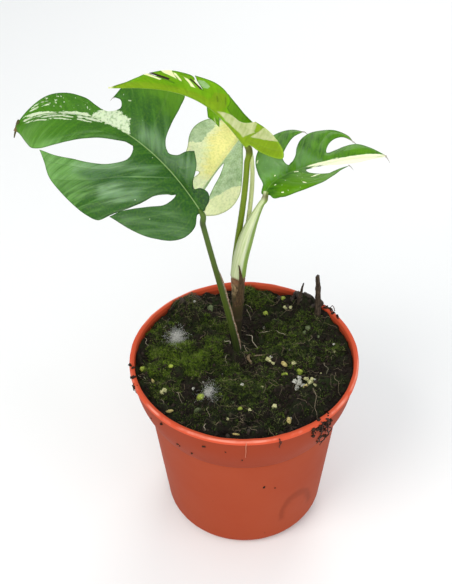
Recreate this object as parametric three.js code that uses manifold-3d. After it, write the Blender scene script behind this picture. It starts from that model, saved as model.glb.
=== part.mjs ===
// A young variegated mini monstera with four lobed leaves, in a 12 cm terracotta-coloured nursery pot.
// Millimetres, +Z up, origin at the centre of the pot's underside. The front of the plant faces -Y.

import * as THREE from "three";
import { mergeVertices } from "three/addons/utils/BufferGeometryUtils.js";
import Module from "manifold-3d";

const wasm = await Module();
wasm.setup();

// Pot
const POT_HEIGHT = 106;
const RIM_RADIUS = 60;
const BASE_RADIUS = 44;
const BASE_ROUNDING = 7;
const WALL = 1.4;
const FLOOR = 2;
const LIP_HEIGHT = 2.6;
const LIP_OVERHANG = 1.2;
const COLLAR_HEIGHT = 28.5;
const COLLAR_FOOT_RADIUS = 52.2;
const COLLAR_BULGE = 1.5;
const LEDGE = 1;
const POT_SIDES = 56;
const DRAIN_HOLES = 8;
const DRAIN_RADIUS = 3.2;
const DRAIN_CIRCLE = 29;
const EDGE_ROUNDING = 0.6;
const FOOT_STEPS = 4;
const FLOOR_ROUNDING = 3;

// Soil
const SOIL_LEVEL = 98.3;
const SOIL_EDGE_RISE = 3;
const SOIL_EDGE_HEIGHT = 1.2;
const SOIL_EDGE_GAP = 0.45;
const SOIL_RINGS = 12;
const SOIL_SIDES = 56;
const SOIL_RING_CROWDING = 0.85;
const CRUMBS = 90;
const CRUMB_REACH = 54;
const GAP = 0.35;
const HOLE_DEPTH = 12;
const HOLE_CLEARANCE = 0.4;
const HOLE_SIDES = 16;

// Heaps of soil and moss cushions: x, y, height, radius
const HEAPS = [
  [33, 40, 8.5, 11],
  [-31, 42, 6.5, 10],
  [-20, 20, 3.2, 13],
  [-34, -6, 2.6, 12],
  [6, -20, 3, 13],
  [26, 4, 3.4, 14],
  [-10, -40, 2.2, 11],
  [37, -24, 2.8, 10],
  [-3, 15, 2.4, 9],
];

// Stems
const STEM_RADIUS = 3.5;
const STEM_FOOT = [-3.9, 16.2, SOIL_LEVEL];
const STEM_TOP = [-3.1, 15, 146];
const STIPULE_RADIUS = 1.5;
const STIPULE_TIP_RADIUS = 0.3;
const SHEATH_RADIUS = 3.9;
const SHEATH_WALL = 0.9;
const SHEATH_STEPS = 16;
const SHEATH_ARC_STEPS = 8;
const PETIOLE_A_RADIUS = 1.6;
const PETIOLE_B_RADIUS = 1.5;
const PETIOLE_C_RADIUS = 1.1;
const PETIOLE_D_RADIUS = 1.35;
const PETIOLE_D_CORE = 0.25;
const TWIG_RADIUS = 1.7;
const TWIG_TIP_RADIUS = 1.3;
const SPLINTER_RADIUS = 1.3;
const SPLINTER_TIP_RADIUS = 0.4;

// Blades: thickness, the midrib's ridge below, and the width that is left at the base
const BLADE_THICKNESS = 0.8;
const RIDGE = 1.1;
const RIDGE_SPREAD = 1.6;
const RIB_HALF = 0.7;
const NECK = 2;

// Rows run from the midrib to the margin, and the sinuses end on the same row everywhere.
const ROWS = [0, 0.06, 0.2, 0.36, 0.52, 0.68, 0.84, 1];
const SINUS_ROW = 0.36;
const COLUMN_WIDTH = 7.5;
const FEWEST_COLUMNS = 4;

const colours = {
  pot: 0xc4573a,
  soil: 0x2c241b,
  stem: 0x6b4a33,
  oldPetiole: 0x5f7f34,
  newPetiole: 0x8c9a34,
  palePetiole: 0xb9c489,
  oldBlade: 0x2f5f35,
  newBlade: 0x7dbb1c,
  creamBlade: 0xd9dfa0,
  youngBlade: 0x4d9a2c,
  wood: 0x3b322b,
};

function material(colour, roughness) {
  return new THREE.MeshStandardMaterial({ color: colour, roughness, metalness: 0 });
}

// A small seeded generator, so that the soil is the same each time.
function seeded(seed) {
  let state = seed;
  return () => {
    state = (Math.imul(state, 1664525) + 1013904223) >>> 0;
    return state / 4294967296;
  };
}

function vector(point) {
  return new THREE.Vector3(...point);
}

function geometryOf(points, triangles) {
  const geometry = new THREE.BufferGeometry();
  const places = points.flatMap((point) => point.toArray());
  geometry.setAttribute("position", new THREE.Float32BufferAttribute(places, 3));
  geometry.setIndex(triangles.flat());
  return geometry;
}

// Closed geometry to solid, and back.
function solidOf(geometry) {
  const bare = geometry.clone();
  bare.deleteAttribute("normal");
  bare.deleteAttribute("uv");
  const merged = mergeVertices(bare, 1e-4);
  const vertProperties = new Float32Array(merged.attributes.position.array);
  const triVerts = new Uint32Array(merged.index.array);
  return new wasm.Manifold(new wasm.Mesh({ numProp: 3, vertProperties, triVerts }));
}

function geometryFrom(solid) {
  const mesh = solid.getMesh();
  const geometry = new THREE.BufferGeometry();
  geometry.setAttribute("position", new THREE.BufferAttribute(new Float32Array(mesh.vertProperties), 3));
  geometry.setIndex(new THREE.BufferAttribute(new Uint32Array(mesh.triVerts), 1));
  return geometry.toNonIndexed();
}

// A body through a row of rings with the same number of points each; the flat ends are closed by
// endFaces, which gives triangles of ring indices, anticlockwise seen from the far end.
function loft(rings, endFaces) {
  const sides = rings[0].length;
  const triangles = [];
  for (let i = 0; i + 1 < rings.length; i++) {
    for (let j = 0; j < sides; j++) {
      const a = i * sides + j;
      const b = i * sides + ((j + 1) % sides);
      triangles.push([a, b, b + sides], [a, b + sides, a + sides]);
    }
  }
  const last = (rings.length - 1) * sides;
  for (const [a, b, c] of endFaces) {
    triangles.push([a, c, b], [last + a, last + b, last + c]);
  }
  return geometryOf(rings.flat(), triangles);
}

// The end faces of a convex ring: a fan.
function fan(sides) {
  return Array.from({ length: sides - 2 }, (_, i) => [0, i + 1, i + 2]);
}

// Frames along a curve: the section's own X stays as near as it can to +X.
function framesAlong(curve, steps) {
  const side = new THREE.Vector3(1, 0, 0);
  return Array.from({ length: steps + 1 }, (_, i) => {
    const t = i / steps;
    const tangent = curve.getTangentAt(t);
    const y = new THREE.Vector3().crossVectors(tangent, side).normalize();
    const x = new THREE.Vector3().crossVectors(y, tangent);
    return { t, at: curve.getPointAt(t), x, y };
  });
}

// The point of a frame's section at an angle and a radius.
function onSection({ at, x, y }, angle, radius) {
  const point = at.clone().addScaledVector(x, radius * Math.cos(angle));
  return point.addScaledVector(y, radius * Math.sin(angle));
}

// A stalk: section(angle, t) gives the radius all round and along.
function stalk(curve, steps, sides, section) {
  const rings = framesAlong(curve, steps).map((frame) =>
    Array.from({ length: sides }, (_, j) => {
      const angle = (2 * Math.PI * j) / sides;
      return onSection(frame, angle, section(angle, frame.t));
    }),
  );
  return loft(rings, fan(sides));
}

// Heights of the collar's foot and of the lip's underside, and the collar's radius under the lip.
const ledge = POT_HEIGHT - COLLAR_HEIGHT;
const lip = POT_HEIGHT - LIP_HEIGHT;
const collarTop = RIM_RADIUS - LIP_OVERHANG;
const bodyTop = COLLAR_FOOT_RADIUS - LEDGE;
const collarSteps = [0.25, 0.5, 0.75].map((share) => ledge + (lip - ledge) * share);

// The collar's outer radius, swelling a little between its foot and the lip.
function collarRadius(z) {
  const share = Math.min((z - ledge) / (lip - ledge), 1);
  const swelling = COLLAR_BULGE * Math.sin(Math.PI * share);
  return THREE.MathUtils.lerp(COLLAR_FOOT_RADIUS, collarTop, share) + swelling;
}

// The pot: a thin wall with a rolled lip, a collar that ends in a faint ledge, and a rounded foot.
function potGeometry() {
  const slope = (bodyTop - BASE_RADIUS) / ledge;
  const foot = Array.from({ length: FOOT_STEPS + 1 }, (_, i) => {
    const angle = (i / FOOT_STEPS) * (Math.PI / 2);
    return [
      BASE_RADIUS - BASE_ROUNDING * (1 - Math.sin(angle)) + slope * BASE_ROUNDING,
      BASE_ROUNDING * (1 - Math.cos(angle)),
    ];
  });
  const outside = [
    ...foot,
    [bodyTop, ledge - LEDGE],
    [COLLAR_FOOT_RADIUS, ledge],
    ...collarSteps.map((z) => [collarRadius(z), z]),
    [collarTop, lip],
    [RIM_RADIUS - EDGE_ROUNDING / 2, lip],
    [RIM_RADIUS, lip + EDGE_ROUNDING],
    [RIM_RADIUS, POT_HEIGHT - EDGE_ROUNDING],
    [RIM_RADIUS - EDGE_ROUNDING, POT_HEIGHT],
    [collarTop - WALL + EDGE_ROUNDING, POT_HEIGHT],
    [collarTop - WALL, POT_HEIGHT - EDGE_ROUNDING],
  ];
  const inside = [
    ...collarSteps.map((z) => [collarRadius(z) - WALL, z]).reverse(),
    [COLLAR_FOOT_RADIUS - WALL, ledge + LEDGE],
    [bodyTop - WALL, ledge - LEDGE],
    [BASE_RADIUS - WALL + slope * BASE_ROUNDING, BASE_ROUNDING + LEDGE],
    [BASE_RADIUS - WALL - 2, FLOOR + 2],
    [BASE_RADIUS - WALL - FLOOR_ROUNDING - 2, FLOOR],
  ];
  const profile = [[0, 0], ...outside, ...inside, [0, FLOOR]].map(([r, z]) => new THREE.Vector2(r, z));
  const turned = new THREE.LatheGeometry(profile, POT_SIDES);
  turned.rotateX(Math.PI / 2);
  let pot = solidOf(turned);
  for (let i = 0; i < DRAIN_HOLES; i++) {
    const angle = (2 * Math.PI * (i + 0.5)) / DRAIN_HOLES;
    const drill = new THREE.CylinderGeometry(DRAIN_RADIUS, DRAIN_RADIUS, 3 * FLOOR, HOLE_SIDES);
    drill.rotateX(Math.PI / 2);
    drill.translate(DRAIN_CIRCLE * Math.cos(angle), DRAIN_CIRCLE * Math.sin(angle), FLOOR / 2);
    pot = pot.subtract(solidOf(drill));
  }
  return geometryFrom(pot);
}

// Crumbs of soil by a seeded draw: x, y, height, radius.
function scatterCrumbs() {
  const draw = seeded(7);
  return Array.from({ length: CRUMBS }, () => {
    const radius = CRUMB_REACH * Math.sqrt(draw());
    const angle = 2 * Math.PI * draw();
    return [radius * Math.cos(angle), radius * Math.sin(angle), 0.7 + 1.5 * draw(), 2.5 + 2.5 * draw()];
  });
}
const mounds = [...HEAPS, ...scatterCrumbs()];

// Height of the soil: a rise towards the wall, a fine roughness, and a rounded mound for each heap
// and crumb.
function soilHeight(x, y) {
  const fromCentre = Math.hypot(x, y);
  let height = SOIL_LEVEL + SOIL_EDGE_RISE * (fromCentre / RIM_RADIUS) ** 3;
  height += 0.5 * Math.sin(x * 0.55 + 1) * Math.sin(y * 0.61);
  for (const [cx, cy, lift, radius] of mounds) {
    height += lift * Math.exp(-((x - cx) ** 2 + (y - cy) ** 2) / (radius * radius));
  }
  return height;
}

// The soil: a body from the pot's floor to the uneven surface, with a plain hole for each stem.
function soilGeometry(cutters) {
  const wallAt = [
    [BASE_RADIUS - WALL - FLOOR_ROUNDING - 2 - GAP, FLOOR + GAP],
    [BASE_RADIUS - WALL - 2 - GAP, FLOOR + FLOOR_ROUNDING],
    [BASE_RADIUS - WALL, BASE_ROUNDING + FLOOR_ROUNDING],
    [bodyTop - WALL - GAP, ledge - LEDGE],
    [COLLAR_FOOT_RADIUS - WALL - GAP, ledge + LEDGE],
    ...collarSteps.map((z) => [collarRadius(z) - WALL - GAP, z]),
  ];
  const points = [new THREE.Vector3(0, 0, FLOOR + GAP)];
  const ring = (radius, height) => {
    for (let j = 0; j < SOIL_SIDES; j++) {
      const angle = (2 * Math.PI * j) / SOIL_SIDES;
      const x = radius * Math.cos(angle);
      const y = radius * Math.sin(angle);
      points.push(new THREE.Vector3(x, y, height(x, y)));
    }
  };
  for (const [radius, z] of wallAt) ring(radius, () => z);
  const edgeHeight = SOIL_LEVEL + SOIL_EDGE_HEIGHT;
  const edge = collarRadius(edgeHeight) - WALL - SOIL_EDGE_GAP;
  ring(edge, () => edgeHeight);
  for (let i = SOIL_RINGS - 1; i > 0; i--) {
    ring(edge * (i / SOIL_RINGS) ** SOIL_RING_CROWDING, soilHeight);
  }
  points.push(new THREE.Vector3(0, 0, soilHeight(0, 0)));
  const rings = wallAt.length + SOIL_RINGS;
  const index = (i, j) => 1 + i * SOIL_SIDES + (j % SOIL_SIDES);
  const triangles = [];
  for (let j = 0; j < SOIL_SIDES; j++) {
    triangles.push([0, index(0, j + 1), index(0, j)]);
    for (let i = 0; i + 1 < rings; i++) {
      triangles.push([index(i, j), index(i, j + 1), index(i + 1, j + 1)]);
      triangles.push([index(i, j), index(i + 1, j + 1), index(i + 1, j)]);
    }
    triangles.push([index(rings - 1, j), index(rings - 1, j + 1), points.length - 1]);
  }
  let soil = solidOf(geometryOf(points, triangles));
  for (const cutter of cutters) soil = soil.subtract(solidOf(cutter));
  return geometryFrom(soil);
}

// The hole that a stem stands in: straight down along the stem's foot, a little wider than it.
function holeCutter({ start, direction }, radius) {
  const below = start.clone().addScaledVector(direction, -HOLE_DEPTH - HOLE_CLEARANCE);
  const above = start.clone().addScaledVector(direction, HOLE_DEPTH);
  return stalk(new THREE.LineCurve3(below, above), 1, HOLE_SIDES, () => radius + HOLE_CLEARANCE);
}

// Cubic Beziers one after the other; each list after the first starts where the last one ended.
function route(first, ...others) {
  const path = new THREE.CurvePath();
  let end = vector(first[0]);
  for (const points of [first.slice(1), ...others]) {
    const rest = points.map(vector);
    path.add(new THREE.CubicBezierCurve3(end, ...rest));
    end = rest[2];
  }
  return path;
}

// A route that starts with a straight foot in the soil.
function rooted(first, ...others) {
  const start = vector(first[0]);
  const direction = vector(first[1]).sub(start).normalize();
  const path = route(first, ...others);
  path.curves.unshift(new THREE.LineCurve3(start.clone().addScaledVector(direction, -HOLE_DEPTH), start));
  return { path, start, direction };
}

// The blade's edge, as smooth runs from one lobe's point to the next, in flat coordinates: x along the
// midrib from the base, y out from it. Each lobe has a front edge out of its sinus, an outer margin that
// ends in its point, a back edge to the next sinus, and the place on the midrib where that sinus points.
function edgeRuns(half, length) {
  const runs = [];
  let from = [0, RIB_HALF];
  let back = [[0.2, NECK]];
  half.forEach((lobe, i) => {
    const margin = i === half.length - 1 ? [...lobe.margin, [length, 0]] : lobe.margin;
    const points = [from, ...back, ...lobe.front, ...margin].map(([x, y]) => new THREE.Vector3(x, y, 0));
    const curve = new THREE.CatmullRomCurve3(points, false, "centripetal");
    const at = (k) => k / (points.length - 1);
    const sinus = i === 0 ? 0 : at(back.length);
    runs.push({ curve, sinus, corner: at(back.length + lobe.front.length) });
    from = margin[margin.length - 1];
    back = lobe.back ?? [];
  });
  return runs;
}

// The midrib is a strip that narrows to the blade's point: half its width at x.
function ribHalf(x, length) {
  return RIB_HALF * Math.sqrt(Math.max(0, 1 - x / length));
}

// A stretch of a curve between two parameters, evenly spaced: share 0 to 1.
function stretch(curve, from, to) {
  const fine = 60;
  const points = Array.from({ length: fine + 1 }, (_, i) => curve.getPoint(from + ((to - from) * i) / fine));
  const lengths = [0];
  for (let i = 1; i <= fine; i++) lengths.push(lengths[i - 1] + points[i].distanceTo(points[i - 1]));
  return (share) => {
    const goal = share * lengths[fine];
    let i = 1;
    while (i < fine && lengths[i] < goal) i++;
    const part = (goal - lengths[i - 1]) / Math.max(lengths[i] - lengths[i - 1], 1e-9);
    return points[i - 1].clone().lerp(points[i], Math.min(Math.max(part, 0), 1));
  };
}

// How many columns a lobe is divided into, by the length of its margin.
function columnsOf({ curve, corner }) {
  const points = Array.from({ length: 9 }, (_, i) => curve.getPoint(corner + ((1 - corner) * i) / 8));
  const length = points.slice(1).reduce((sum, point, i) => sum + point.distanceTo(points[i]), 0);
  return Math.max(FEWEST_COLUMNS, Math.round(length / COLUMN_WIDTH));
}

// One lobe as a grid of flat points, blended from its four sides.
function lobeGrid(half, runs, index, length) {
  const lobe = half[index];
  const { curve, sinus, corner } = runs[index];
  const rootBefore = index === 0 ? 0 : half[index - 1].root;
  const rootAfter = lobe.root ?? length;
  const margin = stretch(curve, corner, 1);
  const front = stretch(curve, sinus, corner);
  const next = runs[index + 1];
  const back = next && stretch(next.curve, next.sinus, 0);
  const onSeam = (root, edge) => (row) => {
    if (row >= SINUS_ROW) return edge((row - SINUS_ROW) / (1 - SINUS_ROW));
    return new THREE.Vector3(root, ribHalf(root, length), 0).lerp(edge(0), row / SINUS_ROW);
  };
  const near = index === 0 ? front : onSeam(rootBefore, front);
  const far = back ? onSeam(rootAfter, back) : () => new THREE.Vector3(length, 0, 0);
  const bottom = (share) => {
    const x = rootBefore + (rootAfter - rootBefore) * share;
    return new THREE.Vector3(x, ribHalf(x, length), 0);
  };
  const columns = columnsOf(runs[index]);
  return ROWS.map((v) =>
    Array.from({ length: columns + 1 }, (_, i) => {
      const u = i / columns;
      const across = near(v).lerp(far(v), u);
      const along = bottom(u).lerp(margin(u), v);
      const corners = bottom(0).lerp(bottom(1), u).lerp(margin(0).lerp(margin(1), u), v);
      return { flat: across.add(along).sub(corners), u, v };
    }),
  );
}

// Places flat points in space: the midrib is a Bezier, and each half folds up from it and curls. A point
// may also be lifted off the blade's own surface, slid in towards the midrib, and sag straight down.
function bladeFrame(leaf) {
  const curve = new THREE.CubicBezierCurve3(...leaf.midrib.map(vector));
  const length = curve.getLength();
  const place = (x, y, lift, slide, sag) => {
    const along = Math.min(Math.max(x / length, 0), 1);
    const tangent = curve.getTangentAt(along);
    const at = curve.getPointAt(along).addScaledVector(tangent, Math.min(x, 0));
    const normal = vector(leaf.faceAtBase).lerp(vector(leaf.faceAtTip), along);
    normal.addScaledVector(tangent, -normal.dot(tangent)).normalize();
    const side = new THREE.Vector3().crossVectors(normal, tangent);
    const half = y >= 0 ? 0 : 1;
    const fold = THREE.MathUtils.degToRad(leaf.fold[half]);
    const curl = THREE.MathUtils.degToRad(leaf.curl[half]);
    const out = (Math.sin(fold + curl * Math.abs(y)) - Math.sin(fold)) / curl;
    const up = (Math.cos(fold) - Math.cos(fold + curl * Math.abs(y))) / curl;
    at.addScaledVector(side, Math.sign(y) * (out - slide)).addScaledVector(normal, up + lift);
    return at.setZ(at.z - sag);
  };
  return { length, place };
}

// A blade: both halves as one sheet, thickened along its normals, with the midrib's ridge below. A lobe
// swells by the leaf's crown, and its pose takes hold from the sinuses out: rise, slide and sag.
function bladeGeometry(leaf) {
  const { length, place } = bladeFrame(leaf);
  const middle = [];
  const ridges = [];
  const found = new Map();
  const vertex = (point, ridge) => {
    const key = point.toArray().map((n) => Math.round(n * 200)).join();
    if (!found.has(key)) {
      found.set(key, middle.length);
      middle.push(point);
      ridges.push(ridge);
    }
    return found.get(key);
  };
  const faces = [];
  const ribs = [[], []];
  [leaf.left, leaf.right].forEach((half, right) => {
    const runs = edgeRuns(half, length);
    half.forEach((lobe, index) => {
      const { sag, slide, rise } = { sag: 0, slide: 0, rise: 0, ...lobe.pose };
      const grid = lobeGrid(half, runs, index, length).map((row) =>
        row.map(({ flat, u, v }) => {
          const beyond = Math.max(0, (v - SINUS_ROW) / (1 - SINUS_ROW)) ** 2;
          const crown = leaf.crown * Math.sin(Math.PI * u) * Math.sin(Math.PI * Math.min(v * 0.7, 1));
          const y = right ? -flat.y : flat.y;
          const point = place(flat.x, y, crown + rise * beyond, slide * beyond, sag * beyond);
          const ridge = RIDGE * (1 - (0.75 * flat.x) / length) * Math.exp(-((flat.y / RIDGE_SPREAD) ** 2));
          return vertex(point, Math.max(0, Math.min(ridge, RIDGE)));
        }),
      );
      ribs[right].push(...grid[0].slice(index ? 1 : 0));
      for (let i = 0; i + 1 < grid.length; i++) {
        for (let j = 0; j + 1 < grid[i].length; j++) {
          const quad = [grid[i][j], grid[i][j + 1], grid[i + 1][j + 1], grid[i + 1][j]];
          if (right) quad.reverse();
          faces.push([quad[0], quad[1], quad[2]], [quad[0], quad[2], quad[3]]);
        }
      }
    });
  });
  faces.push(...zipped(ribs[1], ribs[0]));
  const kept = faces.filter(([a, b, c]) => a !== b && b !== c && c !== a);
  return thicken(middle, kept, ridges);
}

// Triangles between two rows of points that start and end level, taken in even steps.
function zipped(lower, upper) {
  const faces = [];
  let i = 0;
  let j = 0;
  while (i + 1 < lower.length || j + 1 < upper.length) {
    if (j + 1 === upper.length || (i + 1 < lower.length && i / lower.length <= j / upper.length)) {
      faces.push([lower[i], lower[i + 1], upper[j]]);
      i++;
    } else {
      faces.push([lower[i], upper[j + 1], upper[j]]);
      j++;
    }
  }
  return faces;
}

// A sheet made solid: both sides split alike, and a wall wherever an edge has one face only.
function thicken(middle, faces, ridges) {
  const normals = middle.map(() => new THREE.Vector3());
  const edges = new Map();
  for (const face of faces) {
    const [a, b, c] = face.map((k) => middle[k]);
    const normal = new THREE.Vector3().crossVectors(b.clone().sub(a), c.clone().sub(a));
    face.forEach((k, i) => {
      normals[k].add(normal);
      edges.set(`${k},${face[(i + 1) % 3]}`, [k, face[(i + 1) % 3]]);
    });
  }
  normals.forEach((normal) => normal.normalize());
  const top = middle.map((p, k) => p.clone().addScaledVector(normals[k], BLADE_THICKNESS / 2));
  const below = middle.map((p, k) => p.clone().addScaledVector(normals[k], -BLADE_THICKNESS / 2 - ridges[k]));
  const count = middle.length;
  const triangles = [...faces, ...faces.map(([a, b, c]) => [count + a, count + c, count + b])];
  for (const [a, b] of edges.values()) {
    if (edges.has(`${b},${a}`)) continue;
    triangles.push([b, a, count + a], [b, count + a, count + b]);
  }
  return geometryOf([...top, ...below], triangles);
}

// Leaf A, the oldest and largest, leans out to the left and lies open.
const leafA = {
  midrib: [[-19.5, -2, 197.5], [-50, 28, 236], [-95, 57, 226], [-114, 52, 209]],
  faceAtBase: [-0.15, -0.6, 0.78],
  faceAtTip: [-0.3, -0.45, 0.84],
  fold: [8, 8],
  curl: [-0.5, -0.5],
  crown: 1.2,
  left: [
    { root: 12, front: [[-4, 6], [-5.5, 12], [-3.5, 18.5]], margin: [[3.5, 26], [14, 31.3], [26.5, 33.8]],
      back: [[22, 24.5], [16.5, 18], [12.8, 11.5], [13.6, 5]] },
    { root: 44, front: [[18.6, 9.5], [20.6, 18], [25.4, 28], [30.2, 36]],
      margin: [[38, 41.2], [52, 41.5], [68, 39.2], [82, 34.5], [92, 27], [99.4, 20.4]],
      back: [[86, 23], [73, 23], [60, 21], [49.5, 16.5], [43, 9.5], [45.6, 3.2]] },
    { front: [[55.5, 5.8], [69, 11], [84, 16]], margin: [[97, 17.8], [107, 17.3], [115, 11.5], [119, 4.5]] },
  ],
  right: [
    { root: 28, front: [[1, 3], [2.6, 6]],
      margin: [[6, 7.6], [9.4, 5.8], [10.4, 3.4], [13, 4.6], [18, 10.8], [23.4, 14.4]],
      back: [[25.6, 11.4], [27, 7.4], [30.8, 5.2]] },
    { root: 64, front: [[35.5, 8.5], [38.6, 16], [40.6, 24.5], [43, 31]],
      margin: [[50, 33.4], [58, 29.5], [65, 21], [67.4, 12.4]],
      back: [[63.6, 12.4], [61.8, 9], [67, 5]] },
    { front: [[73, 5.8], [80, 8.2]], margin: [[90, 9.6], [100, 8.5], [110, 4.8]] },
  ],
};

// Leaf B, the newest, stands highest and is still half folded along its midrib.
const leafB = {
  midrib: [[1.2, 20, 219.4], [-13.2, 18.5, 241.7], [-21.3, 11.5, 256.1], [-58, 10, 254]],
  faceAtBase: [0, 0.04, 1],
  faceAtTip: [0, 0.04, 1],
  fold: [52, -8],
  curl: [0.2, -0.5],
  crown: 0.5,
  left: [
    { root: 14, front: [[-4.5, 4.2], [-9.5, 9], [-11.3, 13.4]],
      margin: [[-7, 16.4], [1, 16.6], [7.5, 15], [11.6, 12.6]],
      back: [[12.2, 9], [13.6, 6.4], [18, 5]] },
    { root: 33, front: [[23.5, 6], [27, 9], [29, 13.5]], margin: [[33, 16.8], [39.5, 17]],
      back: [[36.5, 11.5], [34.6, 7.2]] },
    { root: 46, front: [[38.6, 11.3], [41.4, 15.6]], margin: [[47, 16.2], [52.4, 14.6], [57, 12.6]],
      back: [[52.4, 9.6], [48, 6.3]] },
    { front: [[54.4, 9], [58.6, 11]], margin: [[63, 8.4], [69, 3.8]] },
  ],
  right: [
    { root: 15, front: [[0.8, 6], [-1, 12], [0, 16.5]],
      margin: [[4.5, 19.4], [11, 19], [16.5, 17], [21, 13.6]],
      back: [[19, 9.5], [16.4, 6.5], [16.4, 4]], pose: { rise: 12, slide: 5 } },
    { root: 26, front: [[18, 6], [17.4, 9]], margin: [[20, 11.4], [24.4, 10.4]],
      back: [[26, 7.4], [27, 4.2]], pose: { sag: 9, slide: 2.5 } },
    { root: 42, front: [[29.4, 6.5], [31, 11.5], [32.5, 15.5]], margin: [[38, 18], [45, 16.5], [50, 12.6]],
      back: [[46.4, 9], [44.4, 5]] },
    { front: [[49, 6.8], [54, 9.6]], margin: [[60, 8.6], [68, 4.4]] },
  ],
};

// Leaf C hangs behind the stems and shows its pale underside.
const leafC = {
  midrib: [[1.3, 39, 220.1], [1.7, 46, 220], [-28.8, 46, 170], [-30.7, 39, 171.6]],
  faceAtBase: [0, 0.95, 0.3],
  faceAtTip: [0, 0.95, 0.05],
  fold: [5, 5],
  curl: [-0.4, -0.4],
  crown: 1,
  left: [
    { root: 38, front: [[1.5, 6], [5, 12], [10, 17.6]],
      margin: [[16, 20.2], [23, 19.6], [30, 16.8], [38, 14.6], [44, 11.6]],
      back: [[41, 8.6], [39.6, 4.4]] },
    { front: [[45, 5.6], [49.6, 7.4]], margin: [[54, 6.4], [59, 3.2]] },
  ],
  right: [
    { root: 26, front: [[5, 1.8], [10.5, 3.6], [17.5, 7.4]],
      margin: [[24, 11.6], [32, 16.4], [41, 21], [49, 21.3], [55, 17.4], [58.6, 11]],
      back: [[52, 8.4], [44, 6.6], [36, 5.6], [29, 3.4]] },
    { front: [[38, 3], [47, 3.4]], margin: [[53, 3], [58, 1.6]] },
  ],
};

// Leaf D, to the right, is held level.
const leafD = {
  midrib: [[10.1, 15, 195.8], [12.5, 23.7, 207.6], [51.9, 35.7, 202.8], [70.9, 46, 198.2]],
  faceAtBase: [0, -0.05, 1],
  faceAtTip: [0.15, -0.05, 1],
  fold: [12, 12],
  curl: [-0.3, -0.3],
  crown: 0.9,
  left: [
    { root: 18, front: [[3.6, 3], [5.9, 8.5], [8.4, 14.5]],
      margin: [[12, 19.6], [18, 23.8], [25, 26], [31, 25.8], [35, 23.4]],
      back: [[29, 21], [22.8, 15.4], [18, 9], [18.6, 4.2]] },
    { root: 38, front: [[23.4, 7.6], [27, 13.4], [31, 18]],
      margin: [[37, 21.2], [45, 21.2], [52, 19.4], [56.2, 15.6], [56.8, 11.6]],
      back: [[53, 15.4], [48, 15], [42.4, 11], [39.4, 6]] },
    { front: [[45, 7.2], [50.5, 9]], margin: [[57, 9.2], [64, 5.4]] },
  ],
  right: [
    { root: 23, front: [[-1, 4.5], [1.5, 9.8], [7, 14.8]],
      margin: [[15, 18.4], [24, 18.4], [33, 14.2], [40, 9.4], [45.6, 6.4]],
      back: [[39.6, 8], [34, 10.6], [28.4, 9.8], [24, 5.8], [24.6, 2.4]] },
    { front: [[34, 2.6], [42, 4.2]], margin: [[51, 5.2], [60, 3.4]] },
  ],
};

// The stem, with a ring of an old leaf scar half way up and one at the top, and its dry pointed stipule.
const stemRoute = rooted([STEM_FOOT, [-4.3, 16, 112], [-2.7, 15.2, 130], STEM_TOP]);
const stipuleRoute = route([[-3.4, 13.4, 128], [-2.6, 10.6, 138], [-1.2, 10, 146], [-1, 9.8, 157]]);

function stemGeometry() {
  const body = stalk(stemRoute.path, 22, 10, (angle, t) => {
    const scar = 0.25 * Math.exp(-(((t - 0.52) / 0.02) ** 2));
    const topRing = 0.35 * Math.exp(-(((t - 0.97) / 0.025) ** 2));
    return STEM_RADIUS * (0.84 + 0.1 * t + 0.03 * Math.sin(3 * angle + 5 * t)) + scar + topRing;
  });
  const stipule = stalk(stipuleRoute, 8, 8, (angle, t) => {
    const radius = THREE.MathUtils.lerp(STIPULE_RADIUS, STIPULE_TIP_RADIUS, t);
    return radius * (1 - 0.55 * Math.abs(Math.sin(angle)));
  });
  return geometryFrom(solidOf(body).add(solidOf(stipule)));
}

// The oldest petiole keeps a dry wing of its sheath along the lower half of its right side.
const petioleARoute = rooted(
  [[-3.3, 7.6, SOIL_LEVEL], [-5.6, 4, 121.5], [-15.6, -1, 171], [-19, -1.8, 190.5]],
  [[-19.5, -2, 193.2], [-17.9, -3.6, 195.5], [-19.26, -2.23, 197.2]],
);

function petioleAGeometry() {
  return stalk(petioleARoute.path, 24, 10, (angle, t) => {
    const wing = 1.3 * Math.exp(-((angle / 0.35) ** 2)) * Math.exp(-(((t - 0.42) / 0.2) ** 2));
    const base = 0.7 * Math.exp(-(((t - 0.12) / 0.16) ** 2));
    return PETIOLE_A_RADIUS * (1 - 0.2 * t) + base + wing;
  });
}

// Petiole D widens downwards into a sheath that holds the two younger petioles, open behind.
const sheathRoute = route(
  [[-3.1, 15, STEM_TOP[2] + 0.9], [-2.2, 15, 162], [2.9, 14.4, 180], [8.2, 14.1, 191.5]],
  [[8.9, 14.1, 192.8], [9.6, 13.2, 193.4], [10.02, 14.74, 195.44]],
);

function petioleDGeometry() {
  const rings = framesAlong(sheathRoute, SHEATH_STEPS).map((frame) => {
    const closing = THREE.MathUtils.smoothstep(frame.t, 0.35, 0.97);
    const outer = THREE.MathUtils.lerp(SHEATH_RADIUS, PETIOLE_D_RADIUS, closing);
    const inner = THREE.MathUtils.lerp(outer - SHEATH_WALL, PETIOLE_D_CORE, closing);
    const from = THREE.MathUtils.lerp(-174, -215, closing);
    const to = THREE.MathUtils.lerp(42, 56, closing);
    const arc = Array.from({ length: SHEATH_ARC_STEPS + 1 }, (_, k) =>
      THREE.MathUtils.degToRad(from + ((to - from) * k) / SHEATH_ARC_STEPS),
    );
    const outside = arc.map((angle) => onSection(frame, angle, outer));
    const inside = arc.map((angle) => onSection(frame, angle, inner)).reverse();
    return [...outside, ...inside];
  });
  const ends = [];
  for (let k = 0; k < SHEATH_ARC_STEPS; k++) {
    const opposite = 2 * SHEATH_ARC_STEPS + 1 - k;
    ends.push([k, k + 1, opposite - 1], [k, opposite - 1, opposite]);
  }
  return loft(rings, ends);
}

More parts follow.
